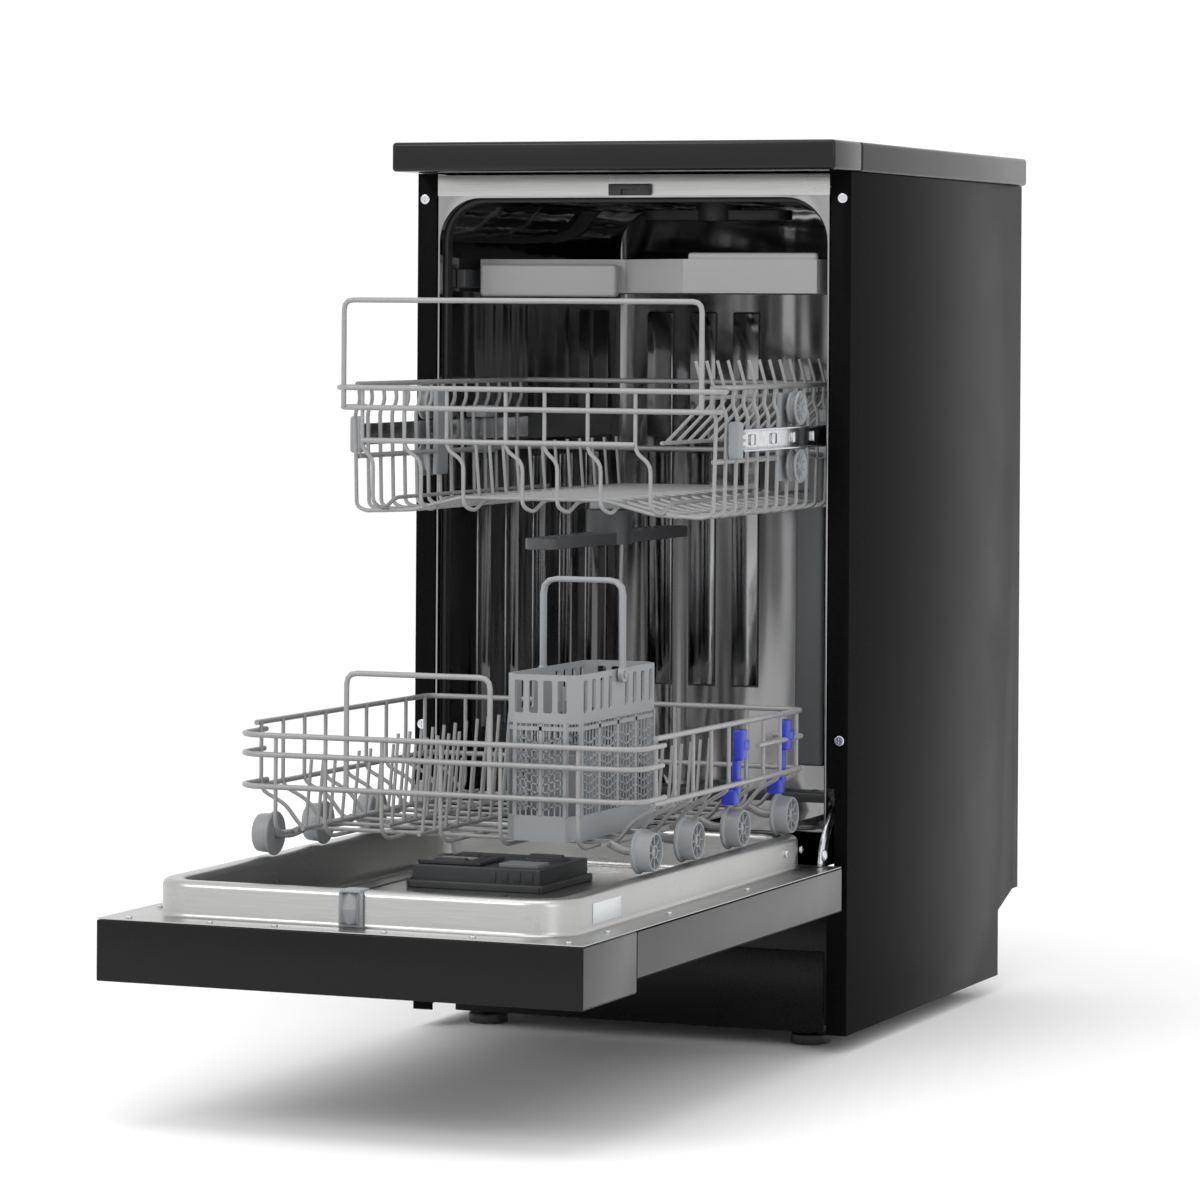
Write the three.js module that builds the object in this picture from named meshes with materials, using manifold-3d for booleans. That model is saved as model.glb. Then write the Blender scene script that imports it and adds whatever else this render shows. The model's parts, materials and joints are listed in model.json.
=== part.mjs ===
// A free-standing slimline dishwasher with its door open and its two wire racks and cutlery tray drawn out.
// Millimetres, +Z up. While it is being built, Y = 0 is the front edge of the cabinet and the door opens
// towards -Y; the last lines move everything so that the origin is the middle of the footprint, on the floor.
import * as THREE from 'three';
import { mergeVertices } from 'three/addons/utils/BufferGeometryUtils.js';
import Module from 'manifold-3d';

const wasm = await Module();
wasm.setup();

// ---------------------------------------------------------------- driving dimensions
const WIDTH = 448;          // over the worktop
const HEIGHT = 850;         // floor to the top of the worktop
const TOP_THICK = 28;
const TOP_FRONT = -56;      // the worktop reaches over the closed door
const TOP_BACK = 542;
const CAB_HALF = 221;       // half the width over the side panels
const CAB_DEPTH = 534;
const CAB_LOW = 16;         // underside of the side panels
const SHEET = 1.6;          // folded steel panels
const POST = 20;            // width of the black posts beside the opening
const GAP = 0.3;            // clearance between pieces that touch

const TUB_HALF = 198;       // inside half width
const TUB_DEPTH = 468;      // inside depth
const TUB_TOP = 798;        // inside, under the ceiling
const LEDGE_Z = 206.4;      // side ledges that the lower wheels roll on
const WELL_Z = 152;         // bottom of the tub
const HEADER_Z = 820;       // top of the steel strip over the opening

const HINGE_Y = -5;
const HINGE_Z = 173;
const DOOR_FRONT = -649;    // top edge of the door, which is the front edge when it is open
const FASCIA_BACK = -531;
const DOOR_BACK = -17;
const DOOR_HALF = 221.5;
const DOOR_PLANE = 176;     // inner face of the open door
const RIM_Z = 206.4;        // top of the liner's raised rim
const PAN_Z = 168;          // floor of the liner's pan

const LOWER = { half: 190, side: 188, floorHalf: 150, front: -450, back: -36, top: 322, low: 232 };
const LOWER_WHEEL = { r: 19.5, width: 17, x: 180.5, z: 226.4, y: [-405, -303, -188, -60] };
const UPPER = { half: 187, side: 174, front: -257, back: 155, top: 620, low: 506 };
const RAIL = { z: 575, half: 10, front: -205, back: 188 };
const ROLLER = { r: 16, x: 186.5, y: -50, width: 10 };
const HUB_Y = 235;          // the middle of the tub, where the sump and two of the spray arms are
const WIRE = 4.4;           // side of the square bars that stand for the coated wire

// ---------------------------------------------------------------- finishes
const finish = (color, roughness, metalness) => ({ color, roughness, metalness });
const BLACK = finish(0x151516, 0.3, 0.2);
const STEEL = finish(0xb4b3b0, 0.32, 0.9);
const ZINC = finish(0xc4c6c4, 0.3, 0.9);
const GREY = finish(0x9a9fa2, 0.5, 0);
const DARK = finish(0x3a3c3e, 0.5, 0);
const COAT = finish(0xa3a19e, 0.45, 0);
const RUBBER = finish(0x111111, 0.8, 0);
const SMOKE = finish(0x1d2226, 0.15, 0);

const group = new THREE.Group();

function solidOf(geometry) {
  const bare = geometry.clone();
  bare.deleteAttribute('normal');
  bare.deleteAttribute('uv');
  const merged = mergeVertices(bare, 1e-4);
  return new wasm.Manifold(new wasm.Mesh({
    numProp: 3,
    vertProperties: new Float32Array(merged.attributes.position.array),
    triVerts: new Uint32Array(merged.index.array),
  }));
}

function geometryOf(solid) {
  const mesh = solid.getMesh();
  const geometry = new THREE.BufferGeometry();
  geometry.setAttribute('position', new THREE.BufferAttribute(mesh.vertProperties, 3));
  geometry.setIndex(new THREE.BufferAttribute(mesh.triVerts, 1));
  geometry.computeVertexNormals();
  return geometry;
}

function place(name, solid, look, parent = group) {
  const mesh = new THREE.Mesh(geometryOf(solid), new THREE.MeshStandardMaterial(look));
  mesh.name = name;
  parent.add(mesh);
}

// ---------------------------------------------------------------- shapes
function box(x0, x1, y0, y1, z0, z1) {
  const geometry = new THREE.BoxGeometry(x1 - x0, y1 - y0, z1 - z0);
  geometry.translate((x0 + x1) / 2, (y0 + y1) / 2, (z0 + z1) / 2);
  return solidOf(geometry);
}

const sorted = (a, b) => [Math.min(a, b), Math.max(a, b)];
const join = (solids) => solids.reduce((all, next) => all.add(next));
const cut = (solid, ...tools) => tools.reduce((left, tool) => left.subtract(tool), solid);

// a round bar between two points
function rod(from, to, r, sides = 12) {
  const a = new THREE.Vector3(...from);
  const b = new THREE.Vector3(...to);
  const geometry = new THREE.CylinderGeometry(r, r, a.distanceTo(b), sides);
  const turn = new THREE.Quaternion().setFromUnitVectors(
    new THREE.Vector3(0, 1, 0), b.clone().sub(a).normalize());
  geometry.applyQuaternion(turn);
  geometry.translate(...a.add(b).multiplyScalar(0.5).toArray());
  return solidOf(geometry);
}

// a closed ring turned about the X axis: wheels and rollers
function wheel(x, y, z, r, bore, width, flange, sides) {
  const w = width / 2;
  const profile = [[bore, -w], [r + flange, -w], [r + flange, -w + 3], [r, -w + 4], [r, w], [bore, w], [bore, -w]];
  const geometry = new THREE.LatheGeometry(profile.map(([a, b]) => new THREE.Vector2(a, b)), sides);
  geometry.rotateZ(x < 0 ? Math.PI / 2 : -Math.PI / 2);
  geometry.translate(x, y, z);
  return solidOf(geometry);
}

// one coated wire of the racks, as square bars along a chain of points
function wire(points, size = WIRE) {
  const h = size / 2;
  const bars = [];
  for (let i = 1; i < points.length; i += 1) {
    const a = new THREE.Vector3(...points[i - 1]);
    const b = new THREE.Vector3(...points[i]);
    const along = b.clone().sub(a).normalize();
    const geometry = new THREE.BoxGeometry(size, a.distanceTo(b) + h, size);
    geometry.applyQuaternion(new THREE.Quaternion().setFromUnitVectors(new THREE.Vector3(0, 1, 0), along));
    geometry.translate(...a.add(b).multiplyScalar(0.5).toArray());
    bars.push(solidOf(geometry));
  }
  return join(bars);
}

// a rectangle with round corners, for extruding
function roundRect(x0, x1, y0, y1, r) {
  const s = new THREE.Shape();
  s.moveTo(x0 + r, y0);
  s.lineTo(x1 - r, y0);
  s.absarc(x1 - r, y0 + r, r, -Math.PI / 2, 0, false);
  s.lineTo(x1, y1 - r);
  s.absarc(x1 - r, y1 - r, r, 0, Math.PI / 2, false);
  s.lineTo(x0 + r, y1);
  s.absarc(x0 + r, y1 - r, r, Math.PI / 2, Math.PI, false);
  s.lineTo(x0, y0 + r);
  s.absarc(x0 + r, y0 + r, r, Math.PI, 1.5 * Math.PI, false);
  return s;
}

// a plan outline raised from z0 to z1
function raised(shape, z0, z1, curveSegments = 5) {
  const geometry = new THREE.ExtrudeGeometry(shape, { depth: z1 - z0, bevelEnabled: false, curveSegments });
  geometry.translate(0, 0, z0);
  return solidOf(geometry);
}

// a front-view outline carried back from y0 to y1
function carried(shape, y0, y1, curveSegments = 5) {
  const geometry = new THREE.ExtrudeGeometry(shape, { depth: y1 - y0, bevelEnabled: false, curveSegments });
  geometry.rotateX(Math.PI / 2);
  geometry.translate(0, y1, 0);
  return solidOf(geometry);
}

// a side-view outline of [y, z] points carried across from x0 to x1
function across(points, x0, x1) {
  const shape = new THREE.Shape(points.map(([y, z]) => new THREE.Vector2(y, z)));
  const geometry = new THREE.ExtrudeGeometry(shape, { depth: x1 - x0, bevelEnabled: false });
  geometry.rotateX(Math.PI / 2);
  geometry.rotateZ(Math.PI / 2);
  geometry.translate(x0, 0, 0);
  return solidOf(geometry);
}

// ---------------------------------------------------------------- cabinet
function worktop() {
  const slab = raised(roundRect(-WIDTH / 2, WIDTH / 2, TOP_FRONT, TOP_BACK, 4), HEIGHT - TOP_THICK, HEIGHT, 3);
  place('worktop', slab, BLACK);
}

function sidePanels() {
  const top = HEIGHT - TOP_THICK - GAP;
  const outline = [[0, CAB_LOW], [468, CAB_LOW], [468, 82], [516, 99], [CAB_DEPTH, 99], [CAB_DEPTH, top], [0, top]];
  for (const [name, side] of [['side_panel_left', -1], ['side_panel_right', 1]]) {
    const outer = side * CAB_HALF;
    const inner = side * (CAB_HALF - SHEET);
    const flange = side * (CAB_HALF - POST);
    const skin = across(outline, ...sorted(outer, inner));
    const post = box(...sorted(outer, flange), 0, SHEET, CAB_LOW, top);
    const back = box(...sorted(outer, flange), CAB_DEPTH - SHEET, CAB_DEPTH, 99, top);
    const armSlot = box(...sorted(side * 201.5, side * 208), -1, SHEET + 1, 168, 246);
    place(name, cut(join([skin, post, back]), armSlot), BLACK);
  }
}

function rearPanel() {
  const half = CAB_HALF - POST - GAP;
  place('rear_panel', box(-half, half, CAB_DEPTH - 3, CAB_DEPTH - 1, 122, HEIGHT - TOP_THICK - GAP), DARK);
}

const INLET_X = 140;
const INLET_Z = 60;

function baseTray() {
  const half = CAB_HALF - SHEET - GAP;
  const shell = cut(
    box(-half, half, 34, 462, 20, 118),
    box(-half + 4, half - 4, 38, 458, 26, 119),
    rod([INLET_X, 456, INLET_Z], [INLET_X, 464, INLET_Z], 11, 16),
  );
  place('base_tray', shell, DARK);
}

function plinth() {
  const half = CAB_HALF - SHEET - GAP;
  const board = cut(
    box(-half, half, 28, 30.5, 13, 148),
    box(-half + 30, half - 30, 27, 32, 12, 20),
  );
  place('plinth', board, BLACK);
}

function feet() {
  const spots = [[-166, 56], [166, 56], [-166, 430], [166, 430]];
  spots.forEach(([x, y], i) => {
    const pad = rod([x, y, 0], [x, y, 9], 19, 16);
    const stem = rod([x, y, 8], [x, y, 20 - GAP], 7, 10);
    place(`foot_${i + 1}`, pad.add(stem), DARK);
  });
}

// the section of the tub, seen from the front: ledges at both sides of a well, and round corners above
function tubSection(grow) {
  const half = TUB_HALF + grow;
  const top = TUB_TOP + grow;
  const r = 42 + grow;
  const wellHalf = 146 + grow;
  const s = new THREE.Shape();
  s.moveTo(-wellHalf + 16, WELL_Z - grow);
  s.lineTo(wellHalf - 16, WELL_Z - grow);
  s.lineTo(wellHalf, LEDGE_Z - grow);
  s.lineTo(half, LEDGE_Z - grow);
  s.lineTo(half, top - r);
  s.absarc(half - r, top - r, r, 0, Math.PI / 2, false);
  s.lineTo(-half + r, top);
  s.absarc(-half + r, top - r, r, Math.PI / 2, Math.PI, false);
  s.lineTo(-half, LEDGE_Z - grow);
  s.lineTo(-wellHalf, LEDGE_Z - grow);
  return s;
}

function tub() {
  const inside = carried(tubSection(0), -1, TUB_DEPTH);
  const shell = carried(tubSection(SHEET), 0, TUB_DEPTH + SHEET);
  const header = box(-TUB_HALF - SHEET, TUB_HALF + SHEET, 0, SHEET, TUB_TOP - 44, HEADER_Z);
  const drain = rod([0, 235, WELL_Z - 4], [0, 235, WELL_Z + 1], 52, 20);
  place('tub', cut(shell.add(header), inside, drain), STEEL);
}

// the rubber seal lies round the mouth of the tub, against its walls
function gasket() {
  const y0 = 10;
  const y1 = 22;
  const outer = carried(tubSection(-GAP), y0, y1);
  const inner = carried(tubSection(-4.2), y0 - 1, y1 + 1);
  const keep = box(-TUB_HALF, TUB_HALF, y0, y1, LEDGE_Z + 8, TUB_TOP);
  place('door_gasket', cut(outer, inner).intersect(keep), RUBBER);
}

function doorCatch() {
  const body = cut(
    box(-21, 21, -6, -GAP, 800, 811),
    box(-8, 8, -7, -2, 799, 806),
  );
  place('door_catch', body, DARK);
}

// ---------------------------------------------------------------- wash system
const LOWER_HUB = [190, 224];   // underside and top of the lower arm's hub

function washSystem() {
  const at = (z) => [0, HUB_Y, z];
  const sump = cut(
    rod(at(96), at(WELL_Z - SHEET - GAP), 60, 24),
    rod(at(106), at(WELL_Z), 44, 24),
  );
  const stem = rod(at(100), at(LOWER_HUB[0] - GAP), 9, 16);
  place('sump', sump.add(stem), DARK);
  const cup = cut(
    rod(at(108), at(WELL_Z + 4), 42, 24),
    rod(at(112), at(WELL_Z + 6), 38, 24),
  );
  const grips = [box(12, 39, HUB_Y - 3, HUB_Y + 3, 111, WELL_Z + 2), box(-39, -12, HUB_Y - 3, HUB_Y + 3, 111, WELL_Z + 2)];
  place('filter', cut(join([cup, ...grips]), rod(at(107), at(WELL_Z + 7), 12, 16)), GREY);
  const pumpZ = 62;
  const motor = rod([-110, HUB_Y, pumpZ], [-40, HUB_Y, pumpZ], 30, 20);
  place('circulation_pump', motor.add(rod([-130, HUB_Y, pumpZ], [-108, HUB_Y, pumpZ], 20, 16)), DARK);
  const drainMotor = rod([44, HUB_Y, pumpZ], [92, HUB_Y, pumpZ], 24, 16);
  place('drain_pump', drainMotor.add(rod([90, HUB_Y, pumpZ], [104, HUB_Y, pumpZ], 12, 12)), DARK);
  const valve = box(INLET_X - 20, INLET_X + 20, 420, 450, INLET_Z - 20, INLET_Z + 20);
  place('inlet_valve', valve.add(rod([INLET_X, 448, INLET_Z], [INLET_X, 472, INLET_Z], 10, 16)), GREY);
}

// a two-bladed spray arm that turns on its hub about Z, stopped at an angle in degrees
function sprayArm(y, z, reach, hubLow, hubHigh, angle = 0) {
  const blade = box(-reach, reach, y - 15, y + 15, z - 5, z + 5);
  const end = (x) => rod([x, y, z - 5], [x, y, z + 5], 15, 14);
  const hub = rod([0, y, hubLow], [0, y, hubHigh], 22, 16);
  const arm = join([blade, end(-reach), end(reach), hub]);
  return angle ? arm.translate([0, -y, 0]).rotate([0, 0, angle]).translate([0, y, 0]) : arm;
}

function sprayArms() {
  place('lower_spray_arm', sprayArm(HUB_Y, 214, 150, ...LOWER_HUB), DARK);
  place('rack_spray_arm', sprayArm(ROLLER.y, 478, 150, 472, UPPER.low - 2 - GAP, 88), DARK);
  place('ceiling_spray_arm', sprayArm(HUB_Y, 786, 62, 780, TUB_TOP - GAP), DARK);
}

// ---------------------------------------------------------------- door
// the liner's pan hangs into the two outer shells, whose end walls are lower there
const linerSpace = () => box(-193, 193, FASCIA_BACK - 5, FASCIA_BACK + 5, PAN_Z - GAP, DOOR_PLANE + 1);

function doorPanel() {
  const low = 134;
  const panel = cut(
    box(-DOOR_HALF, DOOR_HALF, FASCIA_BACK + GAP, DOOR_BACK, low, DOOR_PLANE - 1 - GAP),
    box(-DOOR_HALF + 2, DOOR_HALF - 2, FASCIA_BACK + 2.3, DOOR_BACK - 2, low + 2, DOOR_PLANE + 1),
    linerSpace(),
  );
  place('door_panel', panel, BLACK);
}

const BUTTONS = [['power_button', -150], ['programme_button', 60], ['start_button', 150]];
const FASCIA_LOW = 123;
const BUTTON_Y = -605;

function controlPanel() {
  const shell = cut(
    box(-DOOR_HALF, DOOR_HALF, DOOR_FRONT, FASCIA_BACK, FASCIA_LOW, DOOR_PLANE - 1 - GAP),
    box(-DOOR_HALF + 3, DOOR_HALF - 3, DOOR_FRONT + 3, FASCIA_BACK - 3, FASCIA_LOW + 3, DOOR_PLANE + 1),
    linerSpace(),
    box(-90, 30, BUTTON_Y - 13, BUTTON_Y + 13, FASCIA_LOW - 1, FASCIA_LOW + 4),
    box(-110, 110, FASCIA_BACK - 40, FASCIA_BACK - 14, FASCIA_LOW - 1, FASCIA_LOW + 4),
    ...BUTTONS.map(([, x]) => rod([x, BUTTON_Y, FASCIA_LOW - 1], [x, BUTTON_Y, FASCIA_LOW + 4], 9, 16)),
  );
  place('control_panel', shell, BLACK);
  const grip = cut(
    box(-115, 115, FASCIA_BACK - 45, FASCIA_BACK - 9, FASCIA_LOW + 3 + GAP, FASCIA_LOW + 28),
    box(-110, 110, FASCIA_BACK - 40, FASCIA_BACK - 14, FASCIA_LOW + 2, FASCIA_LOW + 25),
  );
  place('grip_recess', grip, DARK);
  place('display_window', box(-90 + GAP, 30 - GAP, BUTTON_Y - 12.7, BUTTON_Y + 12.7, FASCIA_LOW + 0.4, FASCIA_LOW + 2.6), SMOKE);
  for (const [name, x] of BUTTONS) {
    const cap = rod([x, BUTTON_Y, FASCIA_LOW - 1.6], [x, BUTTON_Y, FASCIA_LOW + 6], 8.6, 16);
    const collar = rod([x, BUTTON_Y, FASCIA_LOW + 4.4], [x, BUTTON_Y, FASCIA_LOW + 6], 11, 16);
    place(name, cap.add(collar), DARK);
  }
}

function doorLiner() {
  const flange = box(-DOOR_HALF, DOOR_HALF, DOOR_FRONT + 1, DOOR_BACK, DOOR_PLANE - 1, DOOR_PLANE);
  const opening = raised(roundRect(-172, 172, -594, -38, 26), PAN_Z + 1, RIM_Z + 2);
  const rim = raised(roundRect(-192, 192, -616, -22, 40), PAN_Z, RIM_Z);
  const hollow = raised(roundRect(-190.6, 190.6, -614.6, -23.4, 39), PAN_Z - 1, RIM_Z - 1.4);
  const wall = raised(roundRect(-173.4, 173.4, -595.4, -36.6, 27), PAN_Z - 1, RIM_Z);
  place('door_liner', cut(flange.add(rim), hollow.subtract(wall), opening), STEEL);
}

function latchNose() {
  const plate = box(-11, 11, -620, -616 - GAP, DOOR_PLANE + GAP, RIM_Z - 1);
  const nose = across([[-619, 184], [-619, 198], [-626, 191]], -5, 5);
  place('latch_nose', plate.add(nose), GREY);
}

const BIN = { x0: -98, x1: 28, y0: -278, y1: -166, low: PAN_Z + 1 + GAP, high: 190 };

function dispenser() {
  const { x0, x1, y0, y1, low, high } = BIN;
  const split = x0 + 70;     // the powder chamber is to the left, the rinse aid to the right
  const lidEnd = y0 + 60;     // the lid slides back from the chamber over the rest of the body
  const capX = (split + x1) / 2;
  const capY = y1 - 30;
  const body = cut(
    box(x0, x1, y0, y1, low, high),
    box(x0 + 8, split - 8, y0 + 8, lidEnd - 6, low + 4, high + 1),
    rod([capX, capY, low + 6], [capX, capY, high + 1], 20.6, 24),
    box(split + 8, x1 - 8, y0 + 14, y0 + 44, low + 6, high + 1),
  );
  place('dispenser_body', body, DARK);
  const lid = box(x0 + 4, split - 4, y0 + 4, lidEnd, high + GAP, high + 4);
  const grip = box(x0 + 20, split - 20, y0 + 6, y0 + 14, high + 3, high + 6);
  place('dispenser_lid', lid.add(grip), DARK);
  place('dispenser_button', box(split + 9, x1 - 9, y0 + 15, y0 + 43, high - 6, high + 2.5), GREY);
  const cap = rod([capX, capY, high - 8], [capX, capY, high + 2], 20, 24);
  place('rinse_aid_cap', cap.add(box(capX - 16, capX + 16, capY - 3, capY + 3, high + 1, high + 5)), GREY);
}

// the curved steel arms stand on the door beside the posts and turn with it about the hinge pins
function hingeArms() {
  const upperEdge = [[-32, 181], [-29, 192], [-23, 203], [-13, 214], [0, 224], [14, 230], [28, 233]];
  const lowerEdge = [[28, 224], [14, 220], [3, 212], [-7, 200], [-12, 188], [-13, DOOR_PLANE + GAP]];
  const outline = [...upperEdge, ...lowerEdge, [-32, DOOR_PLANE + GAP]];
  for (const [name, side] of [['hinge_arm_left', -1], ['hinge_arm_right', 1]]) {
    place(name, across(outline.slice().reverse(), ...sorted(side * 203, side * 206)), ZINC);
  }
}

// ---------------------------------------------------------------- lower rack
const spread = (from, to, count) => Array.from({ length: count }, (_, i) => from + (to - from) * i / (count - 1));

function lowerRack() {
  const { half, side, floorHalf, front, back, top, low } = LOWER;
  const ring = (z, x, y0, y1) => wire([[-x, y0, z], [x, y0, z], [x, y1, z], [-x, y1, z], [-x, y0, z]]);
  const parts = [
    ring(top, half, front, back),
    ring(270, half, front, back),
    wire([[-half, -392, 300], [-half, front, 300], [half, front, 300], [half, -392, 300]]),
    wire([[-84, front, top], [-84, front, 374], [52, front, 374], [52, front, top]]),
  ];
  for (const y of spread(-400, -80, 5)) {
    const right = [[side, y, top], [side, y, 264], [166, y, 251], [floorHalf, y, low]];
    const left = right.map(([x, , z]) => [-x, y, z]).reverse();
    parts.push(wire([...right, ...left]));
  }
  for (const x of [-140, -60, 20, 140]) {
    parts.push(wire([[x, front, top], [x, front, 240], [x, front + 12, low], [x, back - 12, low],
      [x, back, 240], [x, back, top]]));
  }
  for (const y of LOWER_WHEEL.y) {
    for (const s of [-1, 1]) {
      parts.push(wire([[s * 146, y, low], [s * 158, y, LOWER_WHEEL.z]], 6));
      parts.push(rod([s * 155, y, LOWER_WHEEL.z], [s * 188, y, LOWER_WHEEL.z], 4, 10));
    }
  }
  parts.push(wire([[-146, LOWER_WHEEL.y[0], low], [-146, LOWER_WHEEL.y[3], low]], 6));
  parts.push(wire([[146, LOWER_WHEEL.y[0], low], [146, LOWER_WHEEL.y[3], low]], 6));
  place('lower_rack', join(parts), COAT);
}

function lowerWheels() {
  const { r, width, x, z, y } = LOWER_WHEEL;
  y.forEach((at, i) => {
    place(`lower_wheel_left_${i + 1}`, wheel(-x, at, z, r - 1.5, 4.4, width, 1.5, 16), GREY);
    place(`lower_wheel_right_${i + 1}`, wheel(x, at, z, r - 1.5, 4.4, width, 1.5, 16), GREY);
  });
}

// a row of plate tines on its own pivot wire, which folds flat towards the back
const TINES = { y0: -400, y1: -90, x: -62, z: LOWER.low + 6.5, height: 92, count: 9 };

function tineRow() {
  const { y0, y1, x, z, height, count } = TINES;
  const parts = [wire([[x, y0 - 8, z], [x, y1 + 8, z]])];
  for (const y of spread(y0, y1, count)) parts.push(wire([[x, y, z], [x, y, z + height]], 3.6));
  place('folding_tines', join(parts), COAT);
}

const CUTLERY = { x0: 62, x1: 130, y0: -442, y1: -252, low: 235, high: 378 };

function cutleryBasket() {
  const { x0, x1, y0, y1, low, high } = CUTLERY;
  const t = 2.5;
  const windows = [];
  for (const y of spread(y0 + 26, y1 - 26, 4)) {
    windows.push(box(x0 - 1, x1 + 1, y - 16, y + 16, low + 22, high - 42));
    for (const step of [-14, 0, 14]) windows.push(box(x0 - 1, x1 + 1, y + step - 4, y + step + 4, high - 30, high - 8));
  }
  for (const x of [x0 + 20, x1 - 20]) windows.push(box(x - 9, x + 9, y0 - 1, y1 + 1, low + 22, high - 42));
  const shell = cut(
    box(x0, x1, y0, y1, low, high),
    box(x0 + t, x1 - t, y0 + t, y1 - t, low + t, high + 1),
    ...windows,
  );
  const middle = (y0 + y1) / 2;
  const pivotZ = high - 5;
  const rib = box(x0 + 1, x1 - 1, middle - 1, middle + 1, low + 1, high - 12);
  const pin = rod([x0 - 7, middle, pivotZ], [x0 + 1, middle, pivotZ], 3, 12);
  const otherPin = rod([x1 - 1, middle, pivotZ], [x1 + 7, middle, pivotZ], 3, 12);
  place('cutlery_basket', join([shell, rib, pin, otherPin]), GREY);
  const left = x0 - 3.6;
  const right = x1 + 3.6;
  const bail = wire([[left, middle, pivotZ], [left, middle, 455], [right, middle, 455], [right, middle, pivotZ]], 5);
  const eyes = [left, right].map((x) => rod([x - 2.5, middle, pivotZ], [x + 2.5, middle, pivotZ], 7, 14));
  const bore = rod([x0 - 9, middle, pivotZ], [x1 + 9, middle, pivotZ], 3.4, 12);
  place('cutlery_basket_handle', cut(join([bail, ...eyes]), bore), GREY);
}

// ---------------------------------------------------------------- upper rack
function upperRack() {
  const { half, side, front, back, top, low } = UPPER;
  const parts = [
    wire([[-half, front + 30, top], [-half, front, top], [half, front, top], [half, front + 30, top]]),
    wire([[-half, front + 24, 601], [-half, front, 601], [half, front, 601], [half, front + 24, 601]]),
    wire([[-side, front, top], [-side, back, top], [side, back, top], [side, front, top]]),
    wire([[-side, front, 571], [side, front, 571]]),
    wire([[-side, front, 571], [-side, back, 571], [side, back, 571], [side, front, 571]]),
    wire([[-half + 8, front, top], [-half + 8, front, 699], [half - 16, front, 699], [half - 16, front, top]]),
  ];
  for (const y of spread(front + 34, back - 20, 5)) {
    parts.push(wire([[side, y, top], [side, y, low], [-side, y, low], [-side, y, top]]));
  }
  for (const x of [-120, 120]) {
    parts.push(wire([[x, front, top], [x, front, low + 10], [x, front + 12, low], [x, back, low], [x, back, top]]));
  }
  parts.push(wire([[0, front, 571], [0, front, low + 10], [0, front + 12, low], [0, back, low]]));
  for (const s of [-1, 1]) {
    const { y } = ROLLER;
    parts.push(box(...sorted(s * 176, s * 171), y - 8, y + 8, 540, 612));
    for (const z of rollerHeights()) parts.push(rod([s * 172, y, z], [s * 191, y, z], 3, 10));
    const shoe = box(...sorted(s * 171, s * 192), 52, 76, 552, 598);
    const channel = box(...sorted(s * 182, s * 200), 50, 78, RAIL.z - RAIL.half - 1, RAIL.z + RAIL.half + 1);
    parts.push(cut(shoe, channel));
  }
  parts.push(box(-12, 12, ROLLER.y - 12, ROLLER.y + 12, low - 2, low + 2));
  place('upper_rack', join(parts), COAT);
}

const rollerHeights = () => [RAIL.z + RAIL.half + ROLLER.r + 0.8, RAIL.z - RAIL.half - ROLLER.r - 0.8];

function rollers() {
  const { x, y, r, width } = ROLLER;
  for (const [word, s] of [['left', -1], ['right', 1]]) {
    rollerHeights().forEach((z, i) => {
      place(`rack_roller_${word}_${i + 1}`, wheel(s * x, y, z, r - 1.5, 3.4, width, 1.5, 16), GREY);
    });
  }
}

// each rail slides in a bracket on the tub wall, and ends in a grey stop
function rails() {
  for (const [word, s] of [['left', -1], ['right', 1]]) {
    const bar = box(...sorted(s * 184, s * 193), RAIL.front, RAIL.back, RAIL.z - RAIL.half, RAIL.z + RAIL.half);
    const groove = box(...sorted(s * 183, s * 186), RAIL.front + 16, RAIL.back + 1, RAIL.z - 5, RAIL.z + 5);
    const stop = box(...sorted(s * 180, s * 193), RAIL.front - 9, RAIL.front + 1, RAIL.z - 17, RAIL.z + 17);
    place(`rail_${word}`, join([cut(bar, groove), stop]), ZINC);
    place(`rail_bracket_${word}`, box(...sorted(s * 194.6, s * (TUB_HALF - GAP)), 40, 440, 562, 588), DARK);
  }
}

// ---------------------------------------------------------------- cutlery tray
function cutleryTray() {
  const low = 708;
  const high = 740;
  const outline = new THREE.Shape([[-182, 62], [-30, 62], [52, 4], [186, 4], [186, 420], [-182, 420]]
    .map(([x, y]) => new THREE.Vector2(x, y)));
  const hollow = new THREE.Shape([[-178, 68], [-28, 68], [54, 10], [182, 10], [182, 416], [-178, 416]]
    .map(([x, y]) => new THREE.Vector2(x, y)));
  const shell = cut(raised(outline, low, high), raised(hollow, low + 3, high + 1));
  const slots = [];
  for (const x of spread(-150, 150, 6)) slots.push(box(x - 12, x + 12, 100, 390, low - 1, low + 4));
  const ribs = [190, 290].map((y) => box(-180, 184, y - 2, y + 2, low, low + 12));
  const lip = box(-176, -34, 52, 63, low, low + 26);
  place('cutlery_tray', join([cut(shell, ...slots), ...ribs, lip]), GREY);
  for (const [word, s] of [['left', -1], ['right', 1]]) {
    place(`tray_guide_${word}`, box(...sorted(s * 188.5, s * (TUB_HALF - GAP)), 40, 430, low + 4, low + 22), DARK);
  }
}

// ---------------------------------------------------------------- assembly
worktop();
sidePanels();
rearPanel();
baseTray();
plinth();
feet();
tub();
gasket();
doorCatch();
washSystem();
sprayArms();
doorPanel();
controlPanel();
doorLiner();
latchNose();
dispenser();
hingeArms();
lowerRack();
lowerWheels();
tineRow();
cutleryBasket();
upperRack();
rollers();
rails();
cutleryTray();

group.position.y = -(DOOR_FRONT + TOP_BACK) / 2;

export default group;
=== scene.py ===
# %% [markdown]
# # A slim dishwasher with its door open
# The machine is a black steel case with a worktop, a bright steel tub, a drop-down door and two wire racks.
# Its sizes and joints are already fixed in the imported model, so this lesson gives each part the rounded
# edges, wires, ribs and finishes that the plain model lacks. It starts by loading that model.

# %% Load the imported model
import json
import math

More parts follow.
